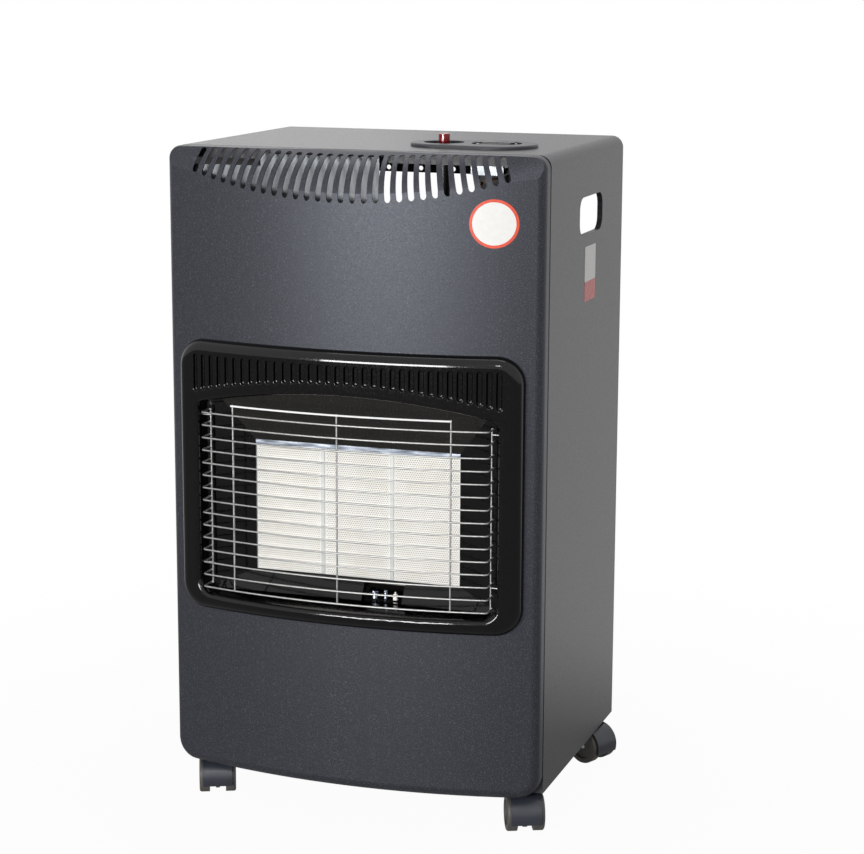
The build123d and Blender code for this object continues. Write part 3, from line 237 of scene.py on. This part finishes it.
def heat_dulled(name, dark, light, soot_below):
    """Stainless strip that the burner's heat has dulled. Below a height it is
    black with soot, where the pilot flame stands in front of it."""
    made, tree, shader, place = new_material(name, Metallic=1.0)
    cloud = put(tree, NOISE, (place, per(4.0), 3.0))
    clean = two_tone(tree, cloud, MOST, dark, light)
    height = put(tree, SPLIT, (place,)).outputs["Z"]
    colour = two_tone(tree, height, (soot_below - 1.5 * MM, soot_below), "#0c0b0a", clean)
    finish(tree, shader, colour, (cloud, MOST, 0.45, 0.58), (cloud, 0.01, 0.4))
    return made


def zinc_spangle(name, dark, light, rough):
    """Hot-dip galvanised sheet: flat crystals 6 mm across, each with a grey
    and a gloss of its own."""
    made, tree, shader, place = new_material(name, Metallic=1.0)
    values = {"Vector": place, "Scale": per(6.0), "Randomness": 1.0}
    crystal = put(tree, "ShaderNodeTexVoronoi", values).outputs["Color"]
    shade = put(tree, "ShaderNodeSeparateColor", (crystal,)).outputs["Red"]
    colour = put(tree, MIX, (shade, sRGB(dark), sRGB(light)), data_type="RGBA")
    finish(tree, shader, colour, (shade, (0.0, 1.0), rough - 0.06, rough + 0.08))
    return made


def moulded_plastic(name, dark, light, rough, grain_mm=0.8, grain_deep=0.03, ior=1.49):
    """Injection-moulded plastic: the fine pits of a spark-eroded mould, and a
    faint cloud of flow under them."""
    made, tree, shader, place = new_material(name, IOR=ior)
    pits = put(tree, NOISE, (place, per(grain_mm), 1.0))
    cloud = put(tree, NOISE, (place, per(12.0), 2.0))
    colour = two_tone(tree, cloud, MOST, dark, light)
    finish(tree, shader, colour, (pits, MOST, rough - 0.05, rough + 0.06), (pits, grain_deep, 0.6))
    return made


def cast_and_painted(name, dark, light, rough):
    """Die-cast aluminium under thin paint: dull, with the sandy skin of the
    casting showing through."""
    made, tree, shader, place = new_material(name, IOR=1.5)
    sand = put(tree, NOISE, (place, per(0.9), 2.0))
    colour = two_tone(tree, sand, (0.4, 0.75), dark, light)
    finish(tree, shader, colour, (sand, MOST, rough - 0.05, rough + 0.1), (sand, 0.08, 0.6))
    return made


def pressed_cordierite(name, pale, warm):
    """Pressed and fired ceramic, unglazed: chalky, faintly sandy, and warmer
    in slow patches."""
    made, tree, shader, place = new_material(name, IOR=1.5, Specular_IOR_Level=0.2)
    sand = put(tree, NOISE, (place, per(0.7), 2.0))
    patch = put(tree, NOISE, (place, per(22.0), 3.0))
    both = put(tree, MATH, (sand, patch), operation="ADD")
    colour = two_tone(tree, both, (0.8, 1.2), warm, pale)
    finish(tree, shader, colour, (sand, MOST, 0.86, 0.95), (sand, 0.06, 0.5))
    return made


def clear_red(name, dark, light):
    """Polished translucent polycarbonate, red all through, with a random cloud
    of brighter red painted in for the light that comes out of it."""
    made, tree, shader, place = new_material(
        name, IOR=1.58, Roughness=0.14, Transmission_Weight=0.25
    )
    depth = put(tree, NOISE, (place, per(4.0), 1.0))
    colour = put(tree, MIX, (depth, sRGB(dark), sRGB(light)), data_type="RGBA")
    finish(tree, shader, colour)
    return made


def vinyl_film(name, ground, shaded):
    """Self-adhesive vinyl, evenly coloured: flat and satin, with the faint
    unevenness of the glue under it."""
    made, tree, shader, place = new_material(name, IOR=1.46)
    glue = put(tree, NOISE, (place, per(5.0), 2.0))
    colour = two_tone(tree, glue, (0.35, 0.65), ground, shaded)
    finish(tree, shader, colour, (glue, MOST, 0.32, 0.4), (glue, 0.008, 0.4))
    return made


PLAQUES = ("ceramic_plaque_left", "ceramic_plaque_centre", "ceramic_plaque_right")
PLAQUE_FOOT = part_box(PLAQUES[1])[0].z

paints = {
    # charcoal-blue coat of the front, even from afar, finely flecked close to, with a painted
    # shadow along its seam
    "front_paint": powder_coat(
        "powder_coat_charcoal", "#202125", "#4e5058", 0.43, 0.44, tint="#edf1ff", seam_shadow_mm=4.4
    ),
    # the cabinet's coat: a plainer, slightly lighter grey than the front's
    "cabinet_paint": powder_coat("powder_coat_grey", "#2f3033", "#4c4d50", 0.38, 0.4),
    # nearly black and wet-looking, so only lamps and edges show on it
    "black_enamel": vitreous_enamel("vitreous_enamel_black", "#010101", "#0a0a09", 0.06, 0.38),
    # the hood's enamel: dark brownish grey, half matt
    "grey_enamel": vitreous_enamel("vitreous_enamel_grey", "#1b1a17", "#22211e", 0.16, 0.4),
    # plated wire: bright where it meets the light, grey in front of the plaques
    "nickel_wire": bare_metal(
        "nickel_plated_wire", "#9a9a98", "#b2b2b0", 0.42, 3.0, bump_mm=0.003
    ),
    # chalk white of the plaques and of the spark electrode's insulator
    "ceramic": pressed_cordierite("cordierite_pressed", "#fefdf9", "#faf7ef"),
    # thin bright-rolled stainless with a bluish cast
    "burner_steel": bare_metal(
        "stainless_bright_rolled", "#97a1b1", "#d6dde8", 0.22, 4.0, streak=6.0
    ),
    # dull silvery grey, without crystals
    "aluminised_steel": bare_metal("aluminised_sheet", "#44474a", "#595c5f", 0.5, 5.0),
    # tray, inner wall, manifold and brackets: pale grey, in crystals that differ little
    "galvanised_steel": zinc_spangle("galvanised_sheet", "#989da1", "#b3b8bc", 0.42),
    # the valve's body, dull black and slightly sandy
    "valve_casting": cast_and_painted("die_cast_painted", "#232325", "#333336", 0.55),
    # turned on a lathe, warm yellow with a soft gloss
    "brass": bare_metal("brass_turned", "#9b7b3e", "#c9a55e", 0.28, 2.0),
    # electroplated zinc: light grey, half bright
    "zinc_fixings": bare_metal("zinc_plated", "#8f9498", "#c9cdd0", 0.30, 1.5),
    # the control plate's ABS, leathery and half matt
    "plate_plastic": moulded_plastic("abs_spark_grained", "#34363a", "#3b3d42", 0.46),
    # knob, igniter and its nut: satin black ABS, finer in its grain
    "black_plastic": moulded_plastic("abs_satin_moulded", "#141416", "#1c1c1f", 0.30, 0.6, 0.015),
    # the igniter's button, deep red and glossy
    "red_plastic": clear_red("polycarbonate_red", "#5c060d", "#a8121e"),
    # soft drawn tube: pale, with a fine cloud from the drawing
    "aluminium_pipe": bare_metal("aluminium_tube_drawn", "#a9aaad", "#cfd0d2", 0.33, 1.2),
    # the thermocouple's thin lead, orange-brown and half bright
    "copper_lead": bare_metal("copper_tube_drawn", "#a0603c", "#d08d63", 0.32, 1.5),
    # brick-red sleeve, dull and slightly rubbery
    "lead_rubber": moulded_plastic("silicone_sleeve", "#6a2415", "#7b2c1a", 0.55, 1.0, 0.02, 1.41),
    # blue-grey nylon of the castor hoods, satin
    "castor_plastic": moulded_plastic("nylon_hood", "#272a32", "#2f323b", 0.36, 0.7, 0.02, 1.53),
    # browner, duller nylon of the wheels
    "castor_tread": moulded_plastic("nylon_tread", "#45423f", "#53504c", 0.5, 0.9, 0.03, 1.53),
}
# the holes of the plaques: the same ceramic in a darker warm grey, shade painted inside them
painted_bore_shade = pressed_cordierite("cordierite_bore_painted_shade", "#b9ae9c", "#a59987")
# thin border strips of the burner, pale grey between the plaques
strip_dull = heat_dulled("stainless_dulled", "#a9a9a6", "#bbbbb8", PLAQUE_FOOT)
# the plate behind the louvres, the lightest thing seen through them
baffle_pale = bare_metal("aluminised_pale", "#5a5d5f", "#6a6c6e", 0.45, 5.0)
# the pilot's plate, near black and almost without gloss
plate_black = vitreous_enamel("near_black_sheet", "#070707", "#141413", 0.6, 0.05)
# the films of the plain stickers: off-white, and an edge and a band in red
film_white = vinyl_film("vinyl_film_white", "#dbdad7", "#d8d6d3")
film_orange = vinyl_film("vinyl_film_orange", "#d9492a", "#cc4023")
film_red = vinyl_film("vinyl_film_red", "#c63a33", "#b8332d")


# ---------------------------------------------------------------- piece helpers

slot_of = {row["node"]: row["material_slot"] for row in frame["record"]["subparts"]}


def add_piece(name, mesh, slot, body, covers=(), look=None):
    """Links a finished mesh as a piece of one body; a mesh without materials, or one given a look,
    gets that look or its slot's material, and the nodes it covers are hidden.
    """
    piece = bpy.data.objects.new(name, mesh)
    bpy.context.scene.collection.objects.link(piece)
    if look or not mesh.materials:
        mesh.materials.clear()
        mesh.materials.append(look or paints[slot])
    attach(piece, body)
    if covers:
        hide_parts(*covers)
    return piece


def soften(mesh, angle):
    """Smooth shading, with edges sharper than angle kept crisp."""
    mesh.polygons.foreach_set("use_smooth", [True] * len(mesh.polygons))
    mesh.set_sharp_from_angle(angle=math.radians(angle))


NUMBER, COUNT = "NodeSocketFloat", "NodeSocketInt"
SKIN, SHAPE = "NodeSocketMaterial", "NodeSocketGeometry"


def new_tree(name, inputs):
    """An empty geometry tree with named inputs, and its in and out nodes."""
    tree = bpy.data.node_groups.new(name, "GeometryNodeTree")
    for label, kind in [("Geometry", SHAPE), *inputs]:
        tree.interface.new_socket(label, in_out="INPUT", socket_type=kind)
    tree.interface.new_socket("Geometry", in_out="OUTPUT", socket_type=SHAPE)
    return tree, put(tree, "NodeGroupInput").outputs, put(tree, "NodeGroupOutput")


def end_tree(tree, last, given, out):
    """Ends a tree: instances made real, then the material."""
    real = put(tree, "GeometryNodeRealizeInstances", (last,))
    skin = {"Geometry": real, "Material": given["Material"]}
    feed(tree, out, {"Geometry": put(tree, "GeometryNodeSetMaterial", skin)})


def grow(name, tree, values, start=None):
    """Runs a geometry tree on a mesh and returns the result as a plain mesh."""
    seed = start or bpy.data.meshes.new(name + "_seed")
    carrier = bpy.data.objects.new(name, seed)
    bpy.context.scene.collection.objects.link(carrier)
    pattern = carrier.modifiers.new("pattern", "NODES")
    pattern.node_group = tree
    for item in tree.interface.items_tree:
        if item.in_out == "INPUT" and item.name in values:
            pattern[item.identifier] = values[item.name]
    graph = bpy.context.evaluated_depsgraph_get()
    mesh = bpy.data.meshes.new_from_object(carrier.evaluated_get(graph))
    bpy.data.objects.remove(carrier)
    return mesh


AROUND = ((-1, -1), (1, -1), (1, 1), (-1, 1))     # a rectangle's corners, in order


def mesh_of(name, points, edges=(), faces=()):
    """A mesh from its points, and its edges or faces."""
    mesh = bpy.data.meshes.new(name)
    mesh.from_pydata(points, edges, faces)
    return mesh


def mesh_from(bm, name):
    """A mesh from what was built in bm, which is freed."""
    mesh = bpy.data.meshes.new(name)
    bm.to_mesh(mesh)
    bm.free()
    return mesh


def join_meshes(name, meshes):
    """One mesh from several, with the materials of the first."""
    bm = bmesh.new()
    for mesh in meshes:
        bm.from_mesh(mesh)
    whole = mesh_from(bm, name)
    for skin in meshes[0].materials:
        whole.materials.append(skin)
    return whole


# ---------------------------------------------------------------- all CAD nodes

for node in nodes:
    nodes[node].data.materials.clear()
    nodes[node].data.materials.append(paints[slot_of[node]])

# nodes that look unlike the rest of their slot
OWN_LOOKS = {
    "plaque_frame": strip_dull,
    "pilot_bracket": plate_black,
    "louvre_baffle": baffle_pale,
}
for node, look in OWN_LOOKS.items():
    nodes[node].data.materials[0] = look


# ---------------------------------------------------------------- the guard

WIRE = 2.0                                # thickness of every wire
WIRE_SIDES = 12                           # facets round a wire
GUARD_STAND = 16.0                        # guard wires, in front of the bow
GUARD_HALF = 161.0                        # half the width of the guard
GUARD_LOW = 209.6                         # height of the lowest wire
GUARD_PITCH = 13.74
GUARD_ROWS = 15
TOP_ROW = 412.5                           # height of the short wire above the rows
TOP_ROW_HALF = 123.5
POST_X = (-122.3, 0.0, 122.3)             # the three upright wires
SIDE_BACK = 31.0                          # side posts, in front of the seam
WIRE_BEND = 3.5                           # size of the bend where a wire turns back
BOW_STEPS = 48                            # straight parts of a wire's bow
BEND_STEPS = 6                            # and of its bend
POST_BEHIND = 2.15                        # upright wires, behind the bowed ones
BEAD_RADIUS = 0.62 * WIRE
BEAD_SHAPE = (1.25, 0.8, 1.1)             # a bead is wide and flat
BEAD_PARTS = {"Segments": 8, "Rings": 5}


def wire_line(z, half, returned):
    """The bent line of one bowed wire, its ends turned back when returned."""
    reach = half - WIRE_BEND if returned else half
    along = [reach * (2 * k / BOW_STEPS - 1) for k in range(BOW_STEPS + 1)]
    points = [(x, bow_y(x, GUARD_STAND)) for x in along]
    if returned:
        corner = bow_y(half, GUARD_STAND)
        ends = (points[-1], (half, corner), (half, corner + WIRE_BEND))
        tail = []
        for k in range(1, BEND_STEPS + 1):
            t = k / BEND_STEPS
            share = ((1 - t) ** 2, 2 * t * (1 - t), t**2)
            tail.append(tuple(sum(s * e[i] for s, e in zip(share, ends)) for i in (0, 1)))
        tail.append((half, -SIDE_BACK))
        points = [(-x, y) for x, y in reversed(tail)] + points + tail
    corners = [at(x, y, z) for x, y in points]
    edges = [(k, k + 1) for k in range(len(corners) - 1)]
    return mesh_of("wire_line", corners, edges)


def wire_rows_tree():
    """A bent line given the wire's thickness and repeated upwards."""
    sizes = [("Rows", COUNT), ("Pitch", NUMBER), ("Radius", NUMBER), ("Material", SKIN)]
    tree, given, out = new_tree("wire_rows", sizes)
    line = put(tree, "GeometryNodeMeshToCurve", (given["Geometry"],))
    ring = put(tree, "GeometryNodeCurvePrimitiveCircle", (WIRE_SIDES, given["Radius"]))
    sweep = {"Curve": line, "Profile Curve": ring, "Fill Caps": True}
    rod = put(tree, "GeometryNodeCurveToMesh", sweep)
    step = put(tree, "ShaderNodeCombineXYZ", {"Z": given["Pitch"]})
    rows = put(tree, "GeometryNodeMeshLine", {"Count": given["Rows"], "Offset": step})
    copies = put(tree, "GeometryNodeInstanceOnPoints", {"Points": rows, "Instance": rod})
    end_tree(tree, copies, given, out)
    return tree


def make_guard():
    """The rows of returned wires and the short wire above them, as one mesh."""
    tree = wire_rows_tree()
    sizes = {"Pitch": GUARD_PITCH * MM, "Radius": WIRE / 2 * MM, "Material": paints["nickel_wire"]}
    long_wire = wire_line(GUARD_LOW, GUARD_HALF, True)
    short_wire = wire_line(TOP_ROW, TOP_ROW_HALF, False)
    rows = grow("rows", tree, {"Rows": GUARD_ROWS, **sizes}, long_wire)
    top = grow("top_row", tree, {"Rows": 1, **sizes}, short_wire)
    mesh = join_meshes("guard_rows", [rows, top])
    soften(mesh, angle=50)
    add_piece("guard_rows", mesh, "nickel_wire", "cabinet", ["guard_wires"])


def weld_beads_tree():
    """A small flattened bead of weld at every given point."""
    sizes = [("Radius", NUMBER), ("Material", SKIN)]
    tree, given, out = new_tree("weld_beads", sizes)
    bead = put(tree, "GeometryNodeMeshUVSphere", {**BEAD_PARTS, "Radius": given["Radius"]})
    spots = {"Points": given["Geometry"], "Instance": bead, "Scale": BEAD_SHAPE}
    end_tree(tree, put(tree, "GeometryNodeInstanceOnPoints", spots), given, out)
    return tree


def make_weld_beads():
    """Beads where the bowed wires cross the upright ones."""
    rows = [GUARD_LOW + k * GUARD_PITCH for k in range(GUARD_ROWS)]
    points = [
        at(x, bow_y(x, GUARD_STAND - POST_BEHIND / 2), z)
        for x in POST_X
        for z in rows + [TOP_ROW]
    ]
    side = GUARD_HALF - POST_BEHIND / 2
    points += [at(s * side, -SIDE_BACK, z) for s in (-1, 1) for z in rows]
    values = {"Radius": BEAD_RADIUS * MM, "Material": paints["nickel_wire"]}
    mesh = grow("weld_beads", weld_beads_tree(), values, mesh_of("bead_points", points))
    soften(mesh, angle=80)
    add_piece("weld_beads", mesh, "nickel_wire", "cabinet")


make_guard()
make_weld_beads()


# ---------------------------------------------------------------- the ceramic plaques

HOLE_PITCH = 2.6                          # real holes are 1.3 mm apart, too fine to show
HOLE_SHARE = 0.50                         # a hole's width, as a share of its cell's
HOLE_DEEP = 1.5
HOLE_COLUMNS = 28
HOLE_ROWS = 63
ROW_STEP = math.sqrt(3) / 2               # from row to row, in pitches
SLAB_BACK = 0.02                          # the slab's front, behind the holes' face
SLAB_EDGE = 0.4                           # chamfer round the slab
RECESS_SPARE = 0.1                        # depth left free behind the holes


def perforated_face_tree():
    """Rows of six-sided cells, each with a blind hole, that face -Y."""
    sizes = [
        ("Columns", COUNT),
        ("Rows", COUNT),
        ("Pitch", NUMBER),
        ("Hole", NUMBER),
        ("Depth", NUMBER),
        ("Material", SKIN),
        ("Bore painted shade", SKIN),
    ]
    tree, given, out = new_tree("perforated_face", sizes)
    pitch = given["Pitch"]
    # one cell with a corner up, and a hole pressed into it
    corner = put(tree, MATH, (pitch, math.sqrt(3)), operation="DIVIDE")
    cell = put(tree, "GeometryNodeMeshCircle", (6, corner), fill_type="NGON")
    turn = {"Geometry": cell, "Rotation": (0, 0, math.radians(30))}
    flat = put(tree, "GeometryNodeTransform", turn)
    start = {"Mesh": flat, "Offset Scale": 0.0}
    rim = put(tree, "GeometryNodeExtrudeMesh", start, mode="FACES")
    middle = rim.outputs["Top"]
    smaller = {"Geometry": rim, "Selection": middle, "Scale": given["Hole"]}
    drawn_in = put(tree, "GeometryNodeScaleElements", smaller, domain="FACE")
    inward = put(tree, MATH, (given["Depth"], -1.0), operation="MULTIPLY")
    push = {"Mesh": drawn_in, "Selection": middle, "Offset Scale": inward}
    hole = put(tree, "GeometryNodeExtrudeMesh", push, mode="FACES")
    inner = (hole.outputs["Top"], hole.outputs["Side"])
    inside = put(tree, "FunctionNodeBooleanMath", inner, operation="OR")
    mark = {"Geometry": hole, "Name": "bore", "Value": inside}
    kind = {"data_type": "BOOLEAN", "domain": "FACE"}
    marked = put(tree, "GeometryNodeStoreNamedAttribute", mark, **kind)
    # the places of the cells, every other row moved over by half a pitch
    row_step = put(tree, MATH, (pitch, ROW_STEP), operation="MULTIPLY")
    spans = []
    for count, step in ((given["Columns"], pitch), (given["Rows"], row_step)):
        gaps = put(tree, MATH, (count, 1), operation="SUBTRACT")
        spans.append(put(tree, MATH, (gaps, step), operation="MULTIPLY"))
    places = put(tree, "GeometryNodeMeshGrid", (*spans, given["Columns"], given["Rows"]))
    number = put(tree, "GeometryNodeInputIndex")
    row = put(tree, MATH, (number, given["Rows"]), operation="MODULO")
    odd = put(tree, MATH, (row, 2), operation="MODULO")
    centred = put(tree, MATH, (odd, 0.5), operation="SUBTRACT")
    half_pitch = put(tree, MATH, (pitch, 0.5), operation="MULTIPLY")
    shift = put(tree, MATH, (centred, half_pitch), operation="MULTIPLY")
    aside = put(tree, "ShaderNodeCombineXYZ", {"X": shift})
    moved = {"Geometry": places, "Offset": aside}
    staggered = put(tree, "GeometryNodeSetPosition", moved)
    copies = put(tree, "GeometryNodeInstanceOnPoints", {"Points": staggered, "Instance": marked})
    # turned to face the room; ceramic outside, a painted shade in the holes
    stand = {"Geometry": copies, "Rotation": (math.radians(90), 0, 0)}
    upright = put(tree, "GeometryNodeTransform", stand)
    real = put(tree, "GeometryNodeRealizeInstances", (upright,))
    plain = {"Geometry": real, "Material": given["Material"]}
    faced = put(tree, "GeometryNodeSetMaterial", plain)
    bore = put(tree, "GeometryNodeInputNamedAttribute", {"Name": "bore"}, data_type="BOOLEAN")
    painted_shade_in_bores = {"Geometry": faced, "Selection": bore, "Material": given["Bore painted shade"]}
    feed(tree, out, {"Geometry": put(tree, "GeometryNodeSetMaterial", painted_shade_in_bores)})
    return tree


def slab_with_recess(node, wide, high):
    """The plaque's body, its front sunk behind the perforated field."""
    low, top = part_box(node)
    middle = (low + top) / 2
    front = low.y + SLAB_BACK * MM
    floor = low.y + (HOLE_DEEP + RECESS_SPARE) * MM

    def ring(half_x, half_z, y):
        return [(middle.x + sx * half_x, y, middle.z + sz * half_z) for sx, sz in AROUND]

    outer = ((top.x - low.x) / 2, (top.z - low.z) / 2)
    edge = SLAB_EDGE * MM
    rings = [
        ring(*outer, top.y),
        ring(*outer, front + edge),
        ring(outer[0] - edge, outer[1] - edge, front),
        ring(wide / 2, high / 2, front),
        ring(wide / 2, high / 2, floor),
    ]
    points = [p for r in rings for p in r]
    faces = [(3, 2, 1, 0)]
    for level in range(len(rings) - 1):
        a, b = 4 * level, 4 * level + 4
        faces += [(a + k, a + (k + 1) % 4, b + (k + 1) % 4, b + k) for k in range(4)]
    last = 4 * (len(rings) - 1)
    faces.append((last, last + 1, last + 2, last + 3))
    mesh = mesh_of(node + "_slab", points, (), faces)
    bm = bmesh.new()
    bm.from_mesh(mesh)
    bmesh.ops.recalc_face_normals(bm, faces=bm.faces)
    bm.to_mesh(mesh)
    bm.free()
    return mesh, Vector((middle.x, low.y, middle.z))


def make_plaques():
    """Three plaques: a slab each, with a field of blind holes in its face."""
    tree = perforated_face_tree()
    values = {
        "Columns": HOLE_COLUMNS,
        "Rows": HOLE_ROWS,
        "Pitch": HOLE_PITCH * MM,
        "Hole": HOLE_SHARE,
        "Depth": HOLE_DEEP * MM,
        "Material": paints["ceramic"],
        "Bore painted shade": painted_bore_shade,
    }
    field = grow("field", tree, values)
    # the recess is no larger than what the staggered cells cover
    wide = (HOLE_COLUMNS - 0.5) * HOLE_PITCH * MM
    high = (HOLE_ROWS - 0.75) * HOLE_PITCH * ROW_STEP * MM
    for node in PLAQUES:
        slab, centre = slab_with_recess(node, wide, high)
        face = field.copy()
        face.transform(Matrix.Translation(centre))
        mesh = join_meshes(node + "_perforated", [face, slab])
        add_piece(node + "_perforated", mesh, "ceramic", "cabinet", [node])


make_plaques()


# ---------------------------------------------------------------- plain stickers

DISC_AT = (160.0, 615.0)                  # middle of the round sticker on the front
DISC_R = 25.0
DISC_EDGE = 3.0                           # its coloured edge
DISC_SIDES = 96
TALLY_Y = (136.0, 180.0)                  # the label on the right side, front to back
TALLY_Z = (514.0, 574.0)
TALLY_BAND = 0.36                         # share of its height that is coloured
TALLY_CORNER = 2.0                        # radius of its corners, in so many steps
CORNER_STEPS = 4
FILM = 0.15                               # thickness of the films


def ring_walls(bm, near, far):
    """Faces from one closed ring of points to the next, or from a single point."""
    for n in range(len(far)):
        m = (n + 1) % len(far)
        if len(near) == 1:
            bm.faces.new((near[0], far[n], far[m]))
        else:
            bm.faces.new((near[n], far[n], far[m], near[m]))


def film_on_bow(name, inner, outer, look):
    """A ring or disc of film laid on the bowed front."""
    bm = bmesh.new()
    rings = []
    steps = 2 if inner else 6    # an edge needs fewer rings than a whole disc
    for k in range(steps + 1):
        r = inner + (outer - inner) * k / steps
        ring = []
        for n in range(DISC_SIDES if r else 1):
            turn = 2 * math.pi * n / DISC_SIDES
            x = DISC_AT[0] + r * math.cos(turn)
            ring.append(bm.verts.new(at(x, bow_y(x, FILM), DISC_AT[1] + r * math.sin(turn))))
        rings.append(ring)
    # the film's cut edge goes back to the paint
    rings.append([bm.verts.new((v.co.x, v.co.y + FILM * MM, v.co.z)) for v in rings[-1]])
    for near, far in zip(rings, rings[1:]):
        ring_walls(bm, near, far)
    mesh = mesh_from(bm, name)
    soften(mesh, angle=40)
    add_piece(name, mesh, "front_paint", "cabinet", look=look)


def film_on_side(name, low, high, look):
    """A flat piece of film with rounded corners on the right side wall."""
    outline = []
    for start, sy, sz in ((0, 1, 1), (90, -1, 1), (180, -1, -1), (270, 1, -1)):
        middle_y = (TALLY_Y[1] if sy > 0 else TALLY_Y[0]) - sy * TALLY_CORNER
        middle_z = (high if sz > 0 else low) - sz * TALLY_CORNER
        for k in range(CORNER_STEPS + 1):
            turn = math.radians(start + 90 / CORNER_STEPS * k)
            across, up = TALLY_CORNER * math.cos(turn), TALLY_CORNER * math.sin(turn)
            outline.append((middle_y + across, middle_z + up))
    bm = bmesh.new()
    face = [bm.verts.new(at(HALF_WIDTH + FILM, y, z)) for y, z in outline]
    foot = [bm.verts.new(at(HALF_WIDTH, y, z)) for y, z in outline]
    bm.faces.new(face)
    ring_walls(bm, face, foot)
    add_piece(name, mesh_from(bm, name), "cabinet_paint", "cabinet", look=look)


def make_stickers():
    """A round one on the front and an upright one on the right side."""
    film_on_bow("front_disc", 0.0, DISC_R - DISC_EDGE, film_white)
    film_on_bow("front_disc_edge", DISC_R - DISC_EDGE, DISC_R, film_orange)
    parting = TALLY_Z[0] + TALLY_BAND * (TALLY_Z[1] - TALLY_Z[0])
    film_on_side("side_tally_upper", parting, TALLY_Z[1], film_white)
    film_on_side("side_tally_band", TALLY_Z[0], parting, film_red)


make_stickers()


# ---------------------------------------------------------------- floor and light

# lengths are in metres from here on
FLOOR_REACH = 12.0                        # from the heater to the floor's edges
SHADOW_FADES = (0.3, 1.1)                 # distance over which the floor turns white
FLOOR_GLOW = 0.96                         # the floor's own white near the heater
FLOOR_IN_GLOSS = 0.35                     # what reflections see of the floor in front
GLOSS_TURNS = (0.2, 0.6)                  # depth over which that rises to white
FILL_LIGHT = 0.35                         # the world's light on the heater
WHITE = (1, 1, 1, 1)

# each lamp's name, place, aim, width and height, and power in watts
LAMPS = (
    ("overhead", (0.0, 0.4, 2.6), (0, 0, 0.4), (1.8, 1.4), 22),
    ("front_soft", (-0.5, -2.8, 0.66), (0, 0, 0.45), (1.3, 0.4), 66),
    ("spark", (0.8, -2.6, 1.6), (0, 0, 0.4), (0.25, 0.25), 8),
    ("back_glow", (-1.8, 3.0, 1.7), (0, 0, 0.7), (1.6, 1.0), 5),
)


def seen_rays(tree):
    """1 for camera, glossy and transmission rays, 0 for the rest."""
    rays = put(tree, "ShaderNodeLightPath").outputs
    seen = rays["Is Camera Ray"]
    for other in ("Is Glossy Ray", "Is Transmission Ray"):
        seen = put(tree, MATH, (seen, rays[other]), operation="MAXIMUM")
    return seen


def make_floor():
    """A pale floor whose shadow shows faintly under the heater. Reflections
    see it greyer in front of the heater than behind."""
    corners = [(FLOOR_REACH * sx, FLOOR_REACH * sy, 0) for sx, sy in AROUND]
    mesh = mesh_of("floor", corners, (), [(0, 1, 2, 3)])
    floor = bpy.data.objects.new("floor", mesh)
    bpy.context.scene.collection.objects.link(floor)
    made, tree, shader, place = new_material(
        "studio_floor", Base_Color=sRGB("#b4b4b4"), Roughness=0.9, Specular_IOR_Level=0.0
    )
    away = put(tree, "ShaderNodeVectorMath", (place,), operation="LENGTH")
    to_eye = put(tree, RANGE, (away, *SHADOW_FADES, FLOOR_GLOW, 1.0))
    depth = put(tree, SPLIT, (place,)).outputs["Y"]
    to_gloss = put(tree, RANGE, (depth, *GLOSS_TURNS, FLOOR_IN_GLOSS, 1.0))
    glossy = put(tree, "ShaderNodeLightPath").outputs["Is Glossy Ray"]
    glow_share = put(tree, MIX, (glossy, to_eye, 1.0))
    level = put(tree, MIX, (glossy, 1.0, to_gloss))
    share = put(tree, MATH, (seen_rays(tree), glow_share), operation="MULTIPLY")
    glow = put(tree, "ShaderNodeEmission", (WHITE, level))
    mixed = put(tree, "ShaderNodeMixShader", (share, shader, glow))
    feed(tree, tree.nodes["Material Output"], {"Surface": mixed})
    mesh.materials.append(made)


def make_world():
    """White to the eye and in reflections, and a softer fill light otherwise."""
    world = bpy.data.worlds.new("studio")
    bpy.context.scene.world = world
    world.use_nodes = True
    tree = world.node_tree
    strength = put(tree, RANGE, (seen_rays(tree), 0.0, 1.0, FILL_LIGHT, 1.0))
    feed(tree, tree.nodes["Background"], {"Color": WHITE, "Strength": strength})


def make_lamp(name, place, aim, size, power):
    """A soft rectangular light at place, facing aim."""
    lamp = bpy.data.objects.new(name, bpy.data.lights.new(name, "AREA"))
    bpy.context.scene.collection.objects.link(lamp)
    lamp.data.shape = "RECTANGLE"
    lamp.data.size, lamp.data.size_y = size
    lamp.data.energy = power
    lamp.location = place
    lamp.rotation_euler = (Vector(aim) - Vector(place)).to_track_quat("-Z", "Y").to_euler()


make_floor()
make_world()
for lamp in LAMPS:
    make_lamp(*lamp)
